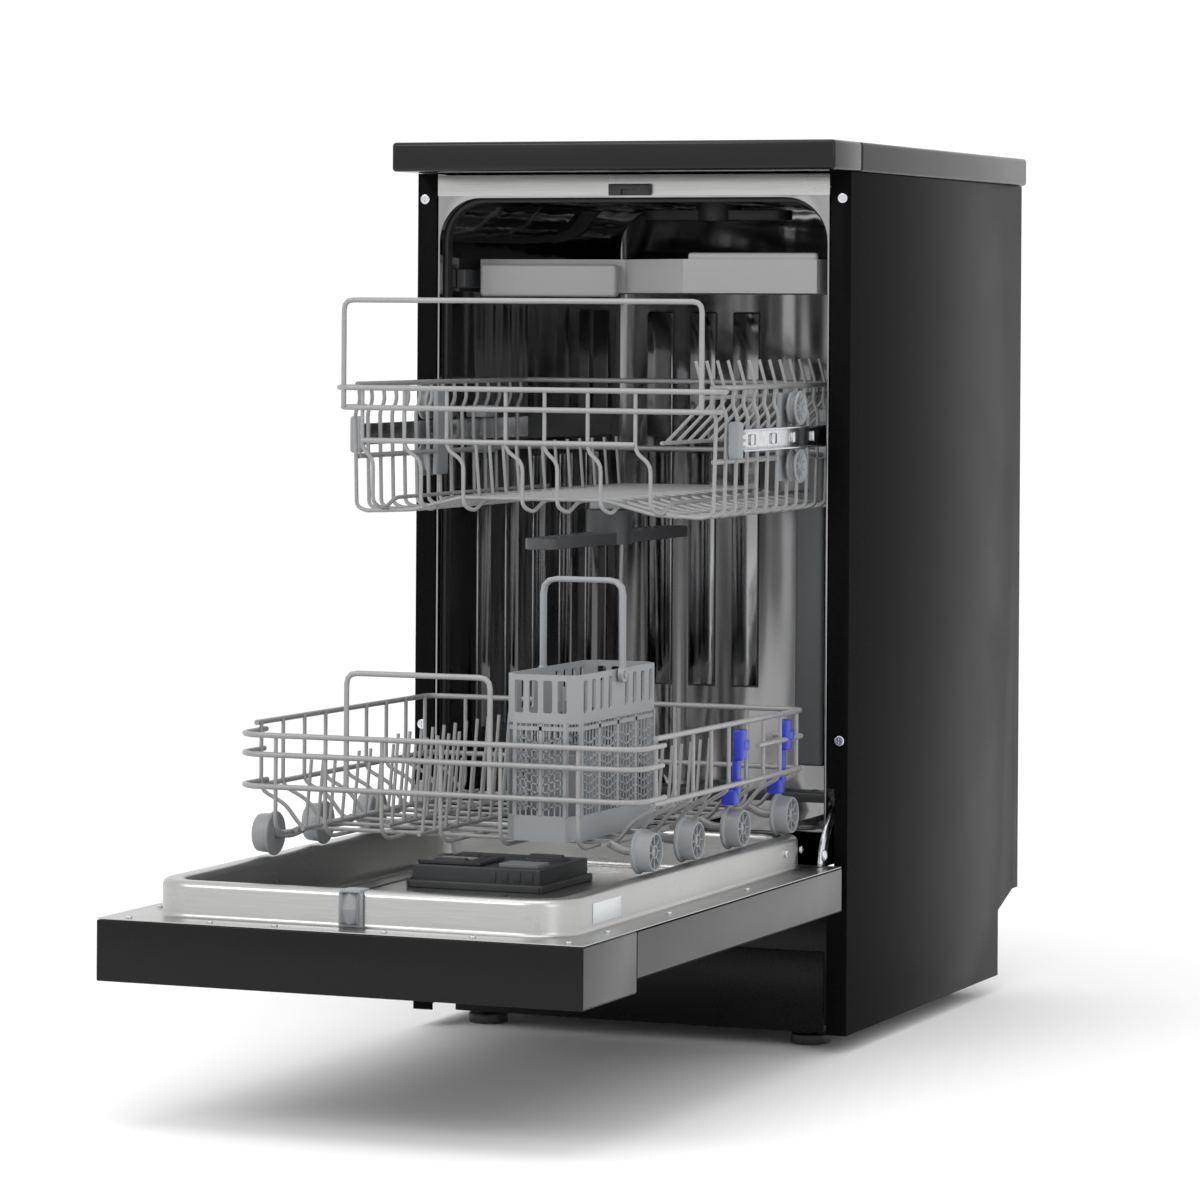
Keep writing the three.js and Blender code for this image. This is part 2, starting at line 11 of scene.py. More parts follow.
import bpy
from mathutils import Matrix, Vector


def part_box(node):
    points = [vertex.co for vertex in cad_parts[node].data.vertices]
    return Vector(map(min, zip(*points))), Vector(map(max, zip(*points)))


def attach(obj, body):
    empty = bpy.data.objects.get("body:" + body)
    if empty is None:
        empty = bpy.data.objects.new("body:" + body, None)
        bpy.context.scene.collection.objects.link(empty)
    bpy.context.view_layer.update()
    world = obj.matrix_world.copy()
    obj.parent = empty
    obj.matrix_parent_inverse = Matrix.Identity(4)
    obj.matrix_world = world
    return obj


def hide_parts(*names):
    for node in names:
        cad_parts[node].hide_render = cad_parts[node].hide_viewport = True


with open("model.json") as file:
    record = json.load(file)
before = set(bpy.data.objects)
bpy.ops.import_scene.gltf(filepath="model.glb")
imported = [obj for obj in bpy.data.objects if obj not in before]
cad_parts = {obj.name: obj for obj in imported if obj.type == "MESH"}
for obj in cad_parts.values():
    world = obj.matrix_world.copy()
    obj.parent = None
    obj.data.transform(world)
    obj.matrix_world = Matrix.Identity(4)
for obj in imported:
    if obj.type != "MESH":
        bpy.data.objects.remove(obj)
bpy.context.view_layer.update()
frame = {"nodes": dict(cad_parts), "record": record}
nodes = frame["nodes"]
body_of_node = {node: body for body, names in frame["record"]["behaviour"]["bodies"].items() for node in names}
slot_of_node = {part["node"]: part["material_slot"] for part in frame["record"]["subparts"]}
MM = 0.001

# %% [markdown]
# ## The camera
# A long lens from a few metres away keeps the upright edges upright, as in a catalogue picture. The camera
# stands level with the racks and looks straight ahead, so the lens is shifted to bring the whole machine
# into the frame instead of tilting the camera, which would make the sides lean.

# %% Set the camera
CAMERA_PLACE = (1.7345, -4.2875, 0.690)
CAMERA_TURN = math.radians(21.98)
CAMERA_ROLL = math.radians(0.36)
bpy.ops.object.camera_add(location=CAMERA_PLACE)
camera = bpy.context.object
camera.name = "camera"
camera.rotation_mode = "QUATERNION"
level = Matrix.Rotation(CAMERA_TURN, 3, "Z") @ Matrix.Rotation(math.radians(90), 3, "X")
camera.rotation_quaternion = (level @ Matrix.Rotation(CAMERA_ROLL, 3, "Z")).to_quaternion()
camera.data.lens = 147.9
camera.data.shift_x = -0.0108
camera.data.shift_y = -0.2405
camera.data.clip_end = 50
bpy.context.scene.camera = camera
print("camera at", CAMERA_PLACE)

# %% [markdown]
# ## Floor and light
# The machine is black and its tub is a mirror, so what they reflect decides how they look. A broad lamp
# from the front left, a weaker one from the right and one above give long soft highlights. The floor and
# the sky are pale and plain, and the Standard view keeps the blacks deep.

# %% Build the studio
FLOOR_SIZE = 30
bpy.ops.mesh.primitive_grid_add(x_subdivisions=4, y_subdivisions=4, size=FLOOR_SIZE, location=(0, 0, -0.001))
floor = bpy.context.object
floor.name = "studio_floor"
floor_paint = bpy.data.materials.new("pale_floor")
floor_paint.use_nodes = True
floor_paint.node_tree.nodes["Principled BSDF"].inputs["Base Color"].default_value = (0.97, 0.97, 0.97, 1)
floor_paint.node_tree.nodes["Principled BSDF"].inputs["Roughness"].default_value = 0.7
floor.data.materials.append(floor_paint)

sky = bpy.data.worlds.new("studio_sky")
sky.use_nodes = True
sky.node_tree.nodes["Background"].inputs["Color"].default_value = (1, 1, 1, 1)
sky.node_tree.nodes["Background"].inputs["Strength"].default_value = 1.05
bpy.context.scene.world = sky
bpy.context.scene.view_settings.view_transform = "Standard"


def lamp(name, place, aim, size, watts):
    bpy.ops.object.light_add(type="AREA", location=place)
    light = bpy.context.object
    light.name = name
    light.data.shape = "RECTANGLE"
    light.data.size, light.data.size_y = size
    light.data.energy = watts
    light.rotation_euler = (Vector(aim) - Vector(place)).to_track_quat("-Z", "Y").to_euler()


lamp("key_lamp", (-1.6, -3.0, 2.6), (0, -0.1, 0.4), (2.0, 1.4), 34)
lamp("side_lamp", (2.6, -2.2, 1.6), (0, -0.2, 0.3), (1.2, 2.2), 12)
lamp("top_lamp", (0, -0.9, 3.2), (0, -0.1, 0.2), (2.2, 1.6), 22)
print("studio ready")

# %% [markdown]
# ## Helpers
# Operators act on whatever is selected, so each step first clears the selection. Every new piece ends
# with its place in its mesh and its object at the origin, and is then parented to the body it moves with
# and given its finish, and the plain nodes it stands for are hidden.

# %% Selection, placing and handing over


def deselect():
    if bpy.context.object and bpy.context.object.mode != "OBJECT":
        bpy.ops.object.mode_set(mode="OBJECT")
    bpy.ops.object.select_all(action="DESELECT")


def pick(*pieces):
    deselect()
    for piece in pieces:
        piece.select_set(True)
    bpy.context.view_layer.objects.active = pieces[0]


def settle(piece, smooth=35):
    pick(piece)
    bpy.ops.object.transform_apply(location=True, rotation=True, scale=True)
    bpy.ops.object.shade_smooth_by_angle(angle=math.radians(smooth))
    return piece


def joined(name, *pieces):
    pick(*pieces)
    if len(pieces) > 1:
        bpy.ops.object.join()
    pieces[0].name = name
    return pieces[0]


def hand_over(piece, body, slot, material, *stands_for):
    piece.data.materials.clear()
    piece.data.materials.append(material)
    if stands_for:
        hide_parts(*stands_for)
    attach(piece, body)
    return piece


def block(name, low, high, bevel=0.0, segments=2):
    """A box between two corners, with its edges rounded."""
    size = Vector(high) - Vector(low)
    bpy.ops.mesh.primitive_cube_add(size=1, location=(Vector(low) + Vector(high)) / 2)
    piece = bpy.context.object
    piece.name = name
    piece.scale = size
    pick(piece)
    bpy.ops.object.transform_apply(location=True, rotation=True, scale=True)
    if bevel:
        bpy.ops.object.mode_set(mode="EDIT")
        bpy.ops.mesh.select_all(action="SELECT")
        bpy.ops.mesh.bevel(offset=bevel, segments=segments, affect="EDGES", clamp_overlap=True)
        bpy.ops.object.mode_set(mode="OBJECT")
    return piece


def sided(name, side, across, low, high, bevel=0.0, segments=2):
    """A block on the left (-1) or right (1), with its X range given for the right."""
    near, far = sorted((side * across[0], side * across[1]))
    return block(name, (near, *low), (far, *high), bevel, segments)


def softened(node, offset, segments=2, sharp=30):
    """A copy of a plain node with its triangles merged into faces and its sharp edges rounded."""
    source = nodes[node]
    piece = source.copy()
    piece.data = source.data.copy()
    bpy.context.collection.objects.link(piece)
    piece.parent = None
    piece.matrix_world = Matrix.Identity(4)
    piece.hide_render = False
    piece.hide_set(False)
    piece.name = node + "_shape"
    pick(piece)
    bpy.ops.object.mode_set(mode="EDIT")
    bpy.ops.mesh.select_mode(type="EDGE")
    bpy.ops.mesh.select_all(action="SELECT")
    bpy.ops.mesh.remove_doubles(threshold=1e-5)
    bpy.ops.mesh.dissolve_limited(angle_limit=math.radians(1))
    bpy.ops.mesh.select_all(action="DESELECT")
    bpy.ops.mesh.edges_select_sharp(sharpness=math.radians(sharp))
    bpy.ops.mesh.bevel(offset=offset, segments=segments, affect="EDGES", clamp_overlap=True)
    bpy.ops.object.mode_set(mode="OBJECT")
    bpy.ops.object.shade_smooth_by_angle(angle=math.radians(35))
    return piece


def soften(node, material, offset, segments=2):
    piece = softened(node, offset, segments)
    return hand_over(piece, body_of_node[node], slot_of_node[node], material, node)


# %% [markdown]
# ## Finishes
# Each finish is a small node tree on Object coordinates, so that it is fixed to the piece as it moves.
# Noise at two scales does most of the work: a large soft one varies the gloss, as handling does, and a
# small one gives the surface its grain through a bump. Steel is brushed by stretching the noise along
# one direction.

# %% One recipe for all finishes


def finish_of(name, color, roughness, metallic=0.0, grain=600.0, bump=0.02, vary=0.06, stretch=(1, 1, 1),
              tint=0.0, specular=0.5, coat=0.0, depth=0.5, detail=3.0,
              ior=1.5):
    material = bpy.data.materials.new(name)
    material.use_nodes = True
    tree = material.node_tree
    shader = tree.nodes["Principled BSDF"]
    shader.inputs["Metallic"].default_value = metallic
    shader.inputs["Specular IOR Level"].default_value = specular
    shader.inputs["IOR"].default_value = ior
    shader.inputs["Coat Weight"].default_value = coat
    shader.inputs["Coat Roughness"].default_value = 0.08
    place = tree.nodes.new("ShaderNodeTexCoord")
    mapping = tree.nodes.new("ShaderNodeMapping")
    mapping.inputs["Scale"].default_value = stretch
    tree.links.new(place.outputs["Object"], mapping.inputs["Vector"])

    fine = tree.nodes.new("ShaderNodeTexNoise")
    fine.inputs["Scale"].default_value = grain
    fine.inputs["Detail"].default_value = detail
    tree.links.new(mapping.outputs["Vector"], fine.inputs["Vector"])
    raise_ = tree.nodes.new("ShaderNodeBump")
    raise_.inputs["Strength"].default_value = bump
    raise_.inputs["Distance"].default_value = depth * MM
    tree.links.new(fine.outputs["Fac"], raise_.inputs["Height"])
    tree.links.new(raise_.outputs["Normal"], shader.inputs["Normal"])

    broad = tree.nodes.new("ShaderNodeTexNoise")
    broad.inputs["Scale"].default_value = 9
    broad.inputs["Detail"].default_value = 4
    tree.links.new(place.outputs["Object"], broad.inputs["Vector"])
    gloss = tree.nodes.new("ShaderNodeMapRange")
    gloss.inputs["From Min"].default_value = 0.3
    gloss.inputs["From Max"].default_value = 0.7
    gloss.inputs["To Min"].default_value = max(0.02, roughness - vary)
    gloss.inputs["To Max"].default_value = roughness + vary
    tree.links.new(broad.outputs["Fac"], gloss.inputs["Value"])
    tree.links.new(gloss.outputs["Result"], shader.inputs["Roughness"])

    ramp = tree.nodes.new("ShaderNodeValToRGB")
    ramp.color_ramp.elements[0].position = 0.3
    ramp.color_ramp.elements[1].position = 0.7
    ramp.color_ramp.elements[0].color = (*[c * (1 - tint) for c in color], 1)
    ramp.color_ramp.elements[1].color = (*[min(1, c * (1 + tint)) for c in color], 1)
    tree.links.new(fine.outputs["Fac"], ramp.inputs["Fac"])
    tree.links.new(ramp.outputs["Color"], shader.inputs["Base Color"])
    return material


# %% The finishes of this machine
black_enamel = finish_of("black_enamel", (0.004, 0.004, 0.0043), 0.24, grain=220, bump=0.02, vary=0.03,
                         tint=0.15, ior=1.08)
black_top = finish_of("black_laminate", (0.005, 0.005, 0.0055), 0.2, grain=500, bump=0.04, vary=0.05,
                      tint=0.2, specular=0.3)
black_plastic = finish_of("black_plastic", (0.005, 0.005, 0.0055), 0.26, grain=900, bump=0.05, vary=0.06,
                          tint=0.2, specular=0.18)
tub_steel = finish_of("bright_tub_steel", (0.30, 0.30, 0.305), 0.08, 1.0, grain=17, bump=0.55, vary=0.03,
                      stretch=(1, 1, 0.05), tint=0.1, depth=6.0, detail=1.0)
brushed_steel = finish_of("brushed_steel", (0.44, 0.438, 0.432), 0.3, 1.0, grain=900, bump=0.10, vary=0.05,
                          stretch=(0.03, 1, 1), tint=0.06)
coated_wire = finish_of("grey_nylon_coat", (0.255, 0.255, 0.255), 0.3, grain=350, bump=0.10, vary=0.08,
                        tint=0.05, coat=0.15)
grey_plastic = finish_of("grey_plastic", (0.235, 0.25, 0.26), 0.4, grain=1400, bump=0.08, vary=0.06,
                         tint=0.04)
tray_plastic = finish_of("tray_grey_plastic", (0.27, 0.27, 0.27), 0.45, grain=1400, bump=0.08, vary=0.06,
                         tint=0.04)
dark_plastic = finish_of("dark_plastic", (0.045, 0.047, 0.05), 0.4, grain=1400, bump=0.12, vary=0.07,
                         tint=0.1)
base_plastic = finish_of("base_plastic", (0.02, 0.02, 0.021), 0.5, grain=1100, bump=0.15, vary=0.08,
                         tint=0.15)
rubber = finish_of("black_rubber", (0.012, 0.012, 0.012), 0.62, grain=800, bump=0.12, vary=0.06, tint=0.15)
zinc = finish_of("zinc_plate", (0.62, 0.63, 0.66), 0.2, 1.0, grain=160, bump=0.08, vary=0.08, tint=0.08)
smoked = finish_of("smoked_window", (0.01, 0.012, 0.015), 0.07, grain=300, bump=0.01, vary=0.03, tint=0.1,
                   coat=0.4)
blue_plastic = finish_of("blue_plastic", (0.025, 0.04, 0.42), 0.36, grain=1200, bump=0.08, vary=0.06,
                         tint=0.06)
side_grey = finish_of("side_grey", (0.048, 0.048, 0.049), 0.36, grain=900, bump=0.05, vary=0.06, tint=0.1)
blank_label = finish_of("blank_label", (0.62, 0.64, 0.68), 0.3, grain=700, bump=0.03, vary=0.05, tint=0.03)
print(len(bpy.data.materials), "materials")

# %% [markdown]
# ## Case and worktop
# The case is folded steel sheet, so its edges are nearly sharp but never quite: a rounding of under a
# millimetre catches the light as a thin line. Copying the plain nodes, merging their triangles and
# bevelling the sharp edges gives that line everywhere at once. The worktop is a thick board with a wider
# rounding and a front strip, parted from the board by a fine groove.

# %% Side panels, back and base
for name in ("side_panel_left", "side_panel_right"):
    soften(name, black_enamel, 0.5 * MM)
soften("base_tray", base_plastic, 1.2 * MM)
soften("rear_panel", base_plastic, 0.5 * MM)
for name in ("sump", "circulation_pump", "drain_pump"):
    soften(name, base_plastic, 1.0 * MM)
for name in ("foot_1", "foot_2", "foot_3", "foot_4"):
    soften(name, base_plastic, 1.0 * MM)
for name in ("inlet_valve", "filter"):
    soften(name, grey_plastic, 0.6 * MM)
soften("door_catch", base_plastic, 0.8 * MM)

# %% The worktop in two parts
top_low, top_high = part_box("worktop")
SEAM = 0.5 * MM
STRIP = 78 * MM
seam_y = top_low[1] + STRIP
board = block("worktop_board", (top_low[0], seam_y + SEAM, top_low[2]), top_high, 3.5 * MM, 4)
strip = block("worktop_strip", top_low, (top_high[0], seam_y, top_high[2]), 3.5 * MM, 4)
core = block("worktop_core", (top_low[0] + 2 * MM, seam_y - 6 * MM, top_low[2] + 2 * MM),
             (top_high[0] - 2 * MM, seam_y + 6 * MM, top_high[2] - 1.5 * MM))
worktop = joined("worktop_shape", board, strip, core)
settle(worktop)
hand_over(worktop, "cabinet", "worktop", black_top, "worktop")
print("case and worktop:", len(worktop.data.polygons), "faces in the worktop")

# %% [markdown]
# ## Back panel
# The back of such a machine is one plain sheet, stiffened by two shallow pressed fields and held by a
# few screws. A field is a thin slab with a wide bevel, which reads as pressed metal from any side.

# %% Pressed fields on the back
back_low, back_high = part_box("rear_panel")
fields = []
FIELD_GAP = 36 * MM
middle_z = (back_low[2] + back_high[2]) / 2
for low_z, high_z in ((back_low[2], middle_z), (middle_z, back_high[2])):
    fields.append(block("back_field", (back_low[0] + FIELD_GAP, back_high[1] - 2 * MM, low_z + FIELD_GAP),
                        (back_high[0] - FIELD_GAP, back_high[1] + 0.9 * MM, high_z - FIELD_GAP), 1.4 * MM, 3))
back_fields = settle(joined("back_fields", *fields))
hand_over(back_fields, "cabinet", "back_sheet", base_plastic)

# %% [markdown]
# ## Screws
# Each post has two cross-head screws, and the back has a row down each side. One head is a short
# cylinder with its edges rounded, and its cross is cut by a boolean. The other heads
# are copies with their own mesh.

# %% One screw head, then its copies


def screw_head(name, place, normal, radius):
    bpy.ops.mesh.primitive_cylinder_add(vertices=24, radius=radius, depth=2.2 * MM, location=(0, 0, 0))
    head = bpy.context.object
    head.name = name
    pick(head)
    bpy.ops.object.mode_set(mode="EDIT")
    bpy.ops.mesh.select_all(action="SELECT")
    bpy.ops.mesh.bevel(offset=0.7 * MM, segments=3, affect="EDGES", clamp_overlap=True)
    bpy.ops.object.mode_set(mode="OBJECT")
    reach = radius * 0.62
    arm = radius * 0.15
    cross = joined("cross", block("slot", (-reach, -arm, 0.2 * MM), (reach, arm, 3 * MM)),
                   block("slot_across", (-arm, -reach, 0.2 * MM), (arm, reach, 3 * MM)))
    pick(head)
    cutter = head.modifiers.new("cross", "BOOLEAN")
    cutter.operation = "DIFFERENCE"
    cutter.use_self = True
    cutter.object = cross
    bpy.ops.object.modifier_apply(modifier="cross")
    bpy.data.objects.remove(cross)
    head.rotation_mode = "QUATERNION"
    head.rotation_quaternion = Vector((0, 0, 1)).rotation_difference(Vector(normal))
    head.location = place
    return settle(head)


def copy_of(piece, name, move):
    twin = piece.copy()
    twin.data = piece.data.copy()
    twin.name = name
    bpy.context.collection.objects.link(twin)
    pick(twin)
    twin.location = move
    bpy.ops.object.transform_apply(location=True, rotation=True, scale=True)
    return twin


post_low, post_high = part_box("side_panel_right")
post_x = post_high[0] - 8 * MM
POST_SCREWS = (797 * MM, 291 * MM)
first = screw_head("post_screw_1", (post_x, post_low[1] - 0.9 * MM, POST_SCREWS[0]), (0, -1, 0), 4.8 * MM)
post_screws = [first]
for x, z in ((post_x, POST_SCREWS[1]), (-post_x, POST_SCREWS[0]), (-post_x, POST_SCREWS[1])):
    number = len(post_screws) + 1
    post_screws.append(copy_of(first, f"post_screw_{number}", (x - post_x, 0, z - POST_SCREWS[0])))
for piece in post_screws:
    hand_over(piece, "cabinet", "zinc_steel", zinc)

back_first = screw_head("back_screw_1", (back_high[0] - 9 * MM, back_high[1] + 0.7 * MM,
                                         back_low[2] + 14 * MM),
                        (0, 1, 0), 3.6 * MM)
back_screws = [back_first]
back_span = back_high[2] - back_low[2] - 28 * MM
for step in range(1, 4):
    back_screws.append(copy_of(back_first, f"back_screw_{step + 1}", (0, 0, step * back_span / 3)))
for step in range(4):
    move = (-(back_high[0] - back_low[0] - 18 * MM), 0, step * back_span / 3)
    back_screws.append(copy_of(back_first, f"back_screw_{step + 5}", move))
for piece in back_screws:
    hand_over(piece, "cabinet", "zinc_steel", zinc)
print(len(post_screws) + len(back_screws), "screws")

# %% [markdown]
# ## Plinth
# The plinth is a moulded board set back between the feet, with its upper corners and front edge well
# rounded and a shallower wing at each end.

# %% Plinth board
plinth_low, plinth_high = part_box("plinth")
WING = 30 * MM
plinth_top = plinth_low[2] + 77 * MM
face = block("plinth_face", (plinth_low[0] + WING, plinth_low[1], plinth_low[2]),
             (plinth_high[0] - WING, plinth_high[1], plinth_top), 1.1 * MM, 3)
wings = block("plinth_wings", (plinth_low[0], plinth_low[1] + 0.6 * MM, plinth_low[2] + 8 * MM),
              (plinth_high[0], plinth_high[1] - 0.2 * MM, plinth_high[2]), 0.8 * MM, 2)
plinth = settle(joined("plinth_shape", face, wings))
hand_over(plinth, "cabinet", "plinth_black", black_plastic, "plinth")

# %% [markdown]
# ## Tub
# The tub is pressed from bright stainless sheet. Its back wall carries tall rounded beads, and its
# sides and roof carry shallower ones, which break up the reflections into streaks. Each bead is a
# bevelled bar sunk into the wall, so only its crown shows.
# A flat grey channel up the back wall feeds water to the upper rack.

# %% Tub shell and beads
soften("tub", tub_steel, 0.4 * MM)
tub_low, tub_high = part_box("tub")
WALL = 1.6 * MM
inner_x = tub_high[0] - WALL
inner_back = tub_high[1] - WALL
tub_front = tub_low[1]
BEAD_LOW = 300 * MM
BEAD_HIGH = 690 * MM


def bead(low, high, radius):
    return block("bead", low, high, radius, 4)


beads = []
for x in (-152, -104, -56, 56, 104, 152):
    beads.append(bead(((x - 15) * MM, inner_back - 3 * MM, BEAD_LOW),
                      ((x + 15) * MM, inner_back + 1 * MM, BEAD_HIGH),
                      2.8 * MM))
for side in (-1, 1):
    for y in (110, 180, 250, 320, 390):
        low_y = tub_front + (y - 16) * MM
        beads.append(sided("bead", side, (inner_x - 1.6 * MM, inner_x + 0.8 * MM),
                           (low_y, BEAD_LOW - 20 * MM),
                           (low_y + 32 * MM, 545 * MM), 2.2 * MM, 4))
for x in (-120, -60, 60, 120):
    beads.append(bead(((x - 10) * MM, tub_front + 60 * MM, 794 * MM),
                      ((x + 10) * MM, inner_back - 60 * MM, 799 * MM),
                      2.2 * MM))
tub_beads = settle(joined("tub_beads", *beads))
hand_over(tub_beads, "cabinet", "tub_steel", tub_steel)
feed = settle(block("feed_channel", (2 * MM, inner_back - 9 * MM, 222 * MM),
                    (32 * MM, inner_back - 0.5 * MM, 560 * MM),
                    3.4 * MM, 4))
hand_over(feed, "cabinet", "grey_plastic", grey_plastic)

print(len(beads), "beads in the tub")

# %% [markdown]
# ## Door seal
# The seal is an extruded rubber with a soft lip. The plain ring is right in section, so it only needs
# its edges rounded. The steel strip over the opening is brushed where the tub is bright, so it gets a
# thin plate of its own.

# %% Seal and header strip
soften("door_gasket", rubber, 1.2 * MM, 3)
header = block("header_strip", (-200 * MM, tub_front - 0.5 * MM, 800 * MM),
               (200 * MM, tub_front + 0.2 * MM, 820 * MM),
               0.2 * MM, 2)
hand_over(settle(header), "cabinet", "liner_steel", brushed_steel)
print("seal and header done")

# %% [markdown]
# ## Door shells
# The open door shows its inner side up. Its outer panel is painted steel and its fascia is plastic, and
# both are hidden shells apart from their sides and undersides. Rounding their edges is all they need.
# The buttons, the window and the grip are on the fascia's outer face, which now looks down.

# %% Outer panel, fascia and controls
soften("door_panel", black_enamel, 0.6 * MM)
soften("control_panel", black_plastic, 0.8 * MM, 3)
soften("grip_recess", dark_plastic, 1.0 * MM)
soften("display_window", smoked, 0.5 * MM)
for name in ("power_button", "programme_button", "start_button"):
    soften(name, dark_plastic, 0.5 * MM, 3)
for node, word in (("door_panel", "panel"), ("control_panel", "fascia")):
    shell_low, shell_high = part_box(node)
    for side, side_word in ((-1, "left"), (1, "right")):
        strip = sided(f"{word}_end_{side_word}", side, (shell_high[0], shell_high[0] + 0.5 * MM),
                      (shell_low[1] + 1 * MM, shell_low[2] + 1.5 * MM),
                      (shell_high[1] - 1 * MM, shell_high[2] - 1 * MM), 0.2 * MM)
        hand_over(settle(strip), "door", "dark_plastic", side_grey)
print("door shells done")

# %% [markdown]
# ## Door liner
# The liner is one steel sheet, drawn up into a broad rounded rim with a pan inside it. A shape like this
# is a profile carried round a rounded rectangle: a loop of vertices is extruded again and again, and
# after each extrusion the new loop is laid on the next, slightly smaller outline at its own height.

# %% Rounded outlines, and a sheet drawn up from them


def spread(first, last, count):
    return [first + (last - first) * step / (count - 1) for step in range(count)]


def outline(half_x, low_y, high_y, radius, height, steps=8):
    """Points of a rounded rectangle, centred on X, counter-clockwise seen from above."""
    points = []
    corners = ((half_x - radius, low_y + radius, -90), (half_x - radius, high_y - radius, 0),
               (radius - half_x, high_y - radius, 90), (radius - half_x, low_y + radius, 180))
    for x, y, start in corners:
        for step in range(steps + 1):
            turn = math.radians(start + 90 * step / steps)
            points.append(Vector((x + radius * math.cos(turn), y + radius * math.sin(turn), height)))
    return points


def drawn_sheet(name, rings, capped=True):
    """A skin over a stack of outlines that have the same number of points."""
    count = len(rings[0])
    bpy.ops.mesh.primitive_circle_add(vertices=count, radius=1)
    piece = bpy.context.object
    piece.name = name
    pick(piece)
    for vertex, point in zip(piece.data.vertices, rings[0]):
        vertex.co = point - piece.location
    for ring in rings[1:]:
        bpy.ops.object.mode_set(mode="EDIT")
        bpy.ops.mesh.extrude_region_move()
        bpy.ops.object.mode_set(mode="OBJECT")
        fresh = piece.data.vertices[-count:]
        for vertex, point in zip(fresh, ring):
            vertex.co = point - piece.location
    if capped:
        bpy.ops.object.mode_set(mode="EDIT")
        bpy.ops.mesh.edge_face_add()
        bpy.ops.object.mode_set(mode="OBJECT")
    return piece


liner_low, liner_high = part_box("door_liner")
rim_z = liner_high[2]
plane_z = rim_z - 30.4 * MM
pan_z = liner_low[2] + 1.2 * MM
rim_front = liner_low[1] + 32 * MM
rim_back = liner_high[1] - 5 * MM


def rim_ring(inset, height):
    return outline(192 * MM - inset, rim_front + inset, rim_back - inset, 40 * MM - min(inset, 20 * MM),
                   height)


flange = outline(liner_high[0], liner_low[1], liner_high[1], 1.5 * MM, plane_z)
rings = [flange]
FOOT = 4 * MM
for step in range(5):
    turn = math.radians(90 * step / 4)
    rings.append(rim_ring(-FOOT * (1 - math.sin(turn)), plane_z + FOOT * (1 - math.cos(turn))))
CROWN = 6 * MM
for step in range(6):
    turn = math.radians(90 * step / 5)
    rings.append(rim_ring(CROWN * (1 - math.cos(turn)), rim_z - CROWN + CROWN * math.sin(turn)))
LAND = 20 * MM
for step in range(6):
    turn = math.radians(90 * step / 5)
    rings.append(rim_ring(LAND - CROWN + CROWN * math.sin(turn), rim_z - CROWN + CROWN * math.cos(turn)))
DRAFT = 5 * MM
for step in range(5):
    turn = math.radians(90 * step / 4)
    rings.append(rim_ring(LAND + DRAFT + FOOT * (1 - math.cos(turn)), pan_z + FOOT * (1 - math.sin(turn))))
liner = drawn_sheet("door_liner_shape", rings)
pick(liner)
bpy.ops.object.mode_set(mode="EDIT")
bpy.ops.mesh.select_all(action="SELECT")
bpy.ops.mesh.normals_make_consistent(inside=False)
bpy.ops.object.mode_set(mode="OBJECT")
if sum(face.normal.z * face.area for face in liner.data.polygons) < 0:
    bpy.ops.object.mode_set(mode="EDIT")
    bpy.ops.mesh.flip_normals()
    bpy.ops.object.mode_set(mode="OBJECT")
thick = liner.modifiers.new("sheet", "SOLIDIFY")
thick.thickness = 0.8 * MM
thick.offset = -1
bpy.ops.object.modifier_apply(modifier="sheet")
settle(liner, 40)
hand_over(liner, "door", "liner_steel", brushed_steel, "door_liner")
print("liner:", len(liner.data.polygons), "faces")

# %% [markdown]
# ## Creases, screws and plate on the liner
# Shallow creases cross the pan, small screws hold the flange to the shells, and two clinched fixings
# show on the rim by the hinges. The rating plate is left blank.

# %% Small things on the liner
creases = []
for x0, x1, y0, y1 in ((-150, 150, -586, -582), (-150, 150, -52, -48)):
    creases.append(block("crease", (x0 * MM, y0 * MM + tub_front, pan_z - 1 * MM),
                         (x1 * MM, y1 * MM + tub_front, pan_z + 1.2 * MM), 1 * MM, 3))
for x in (-150, -128, 118, 140):
    creases.append(block("crease", ((x - 4) * MM, tub_front - 0.500, pan_z - 1 * MM),
                         ((x + 4) * MM, tub_front - (0.130 if x > 30 or x < -110 else 0.29),
                          pan_z + 1.6 * MM), 1.4 * MM, 3))
creases.append(block("crease", (-11 * MM, rim_front + LAND, pan_z - 1 * MM), (11 * MM, tub_front - 0.310,
               pan_z + 2.4 * MM), 2 * MM, 3))
creases_piece = settle(joined("liner_creases", *creases))
hand_over(creases_piece, "door", "liner_steel", brushed_steel)

front_edge = liner_low[1]
flange_spots = [(x * MM, front_edge + 9 * MM) for x in (-196, -120, -60, 40, 120, 205)]
flange_spots += [(207 * MM, y * MM + tub_front) for y in (-560, -420, -230)]
flange_spots += [(-207 * MM, y * MM + tub_front) for y in (-560, -420, -230)]
flange_first = screw_head("flange_screw_1", (*flange_spots[0], plane_z + 0.9 * MM), (0, 0, 1), 2.6 * MM)
flange_screws = [flange_first]
for x, y in flange_spots[1:]:
    move = (x - flange_spots[0][0], y - flange_spots[0][1], 0)
    flange_screws.append(copy_of(flange_first, f"flange_screw_{len(flange_screws) + 1}", move))
rim_spots = [(1, -0.087), (1, -0.047), (-1, -0.087), (-1, -0.047)]
for side, y in rim_spots:
    place = (side * 192.4 * MM, tub_front + y, rim_z - 13 * MM)
    flange_screws.append(screw_head("flange_screw_x", place, (side, 0, 0), 3.6 * MM))
for number, piece in enumerate(flange_screws, 1):
    piece.name = f"liner_screw_{number}"
    hand_over(piece, "door", "zinc_steel", zinc)

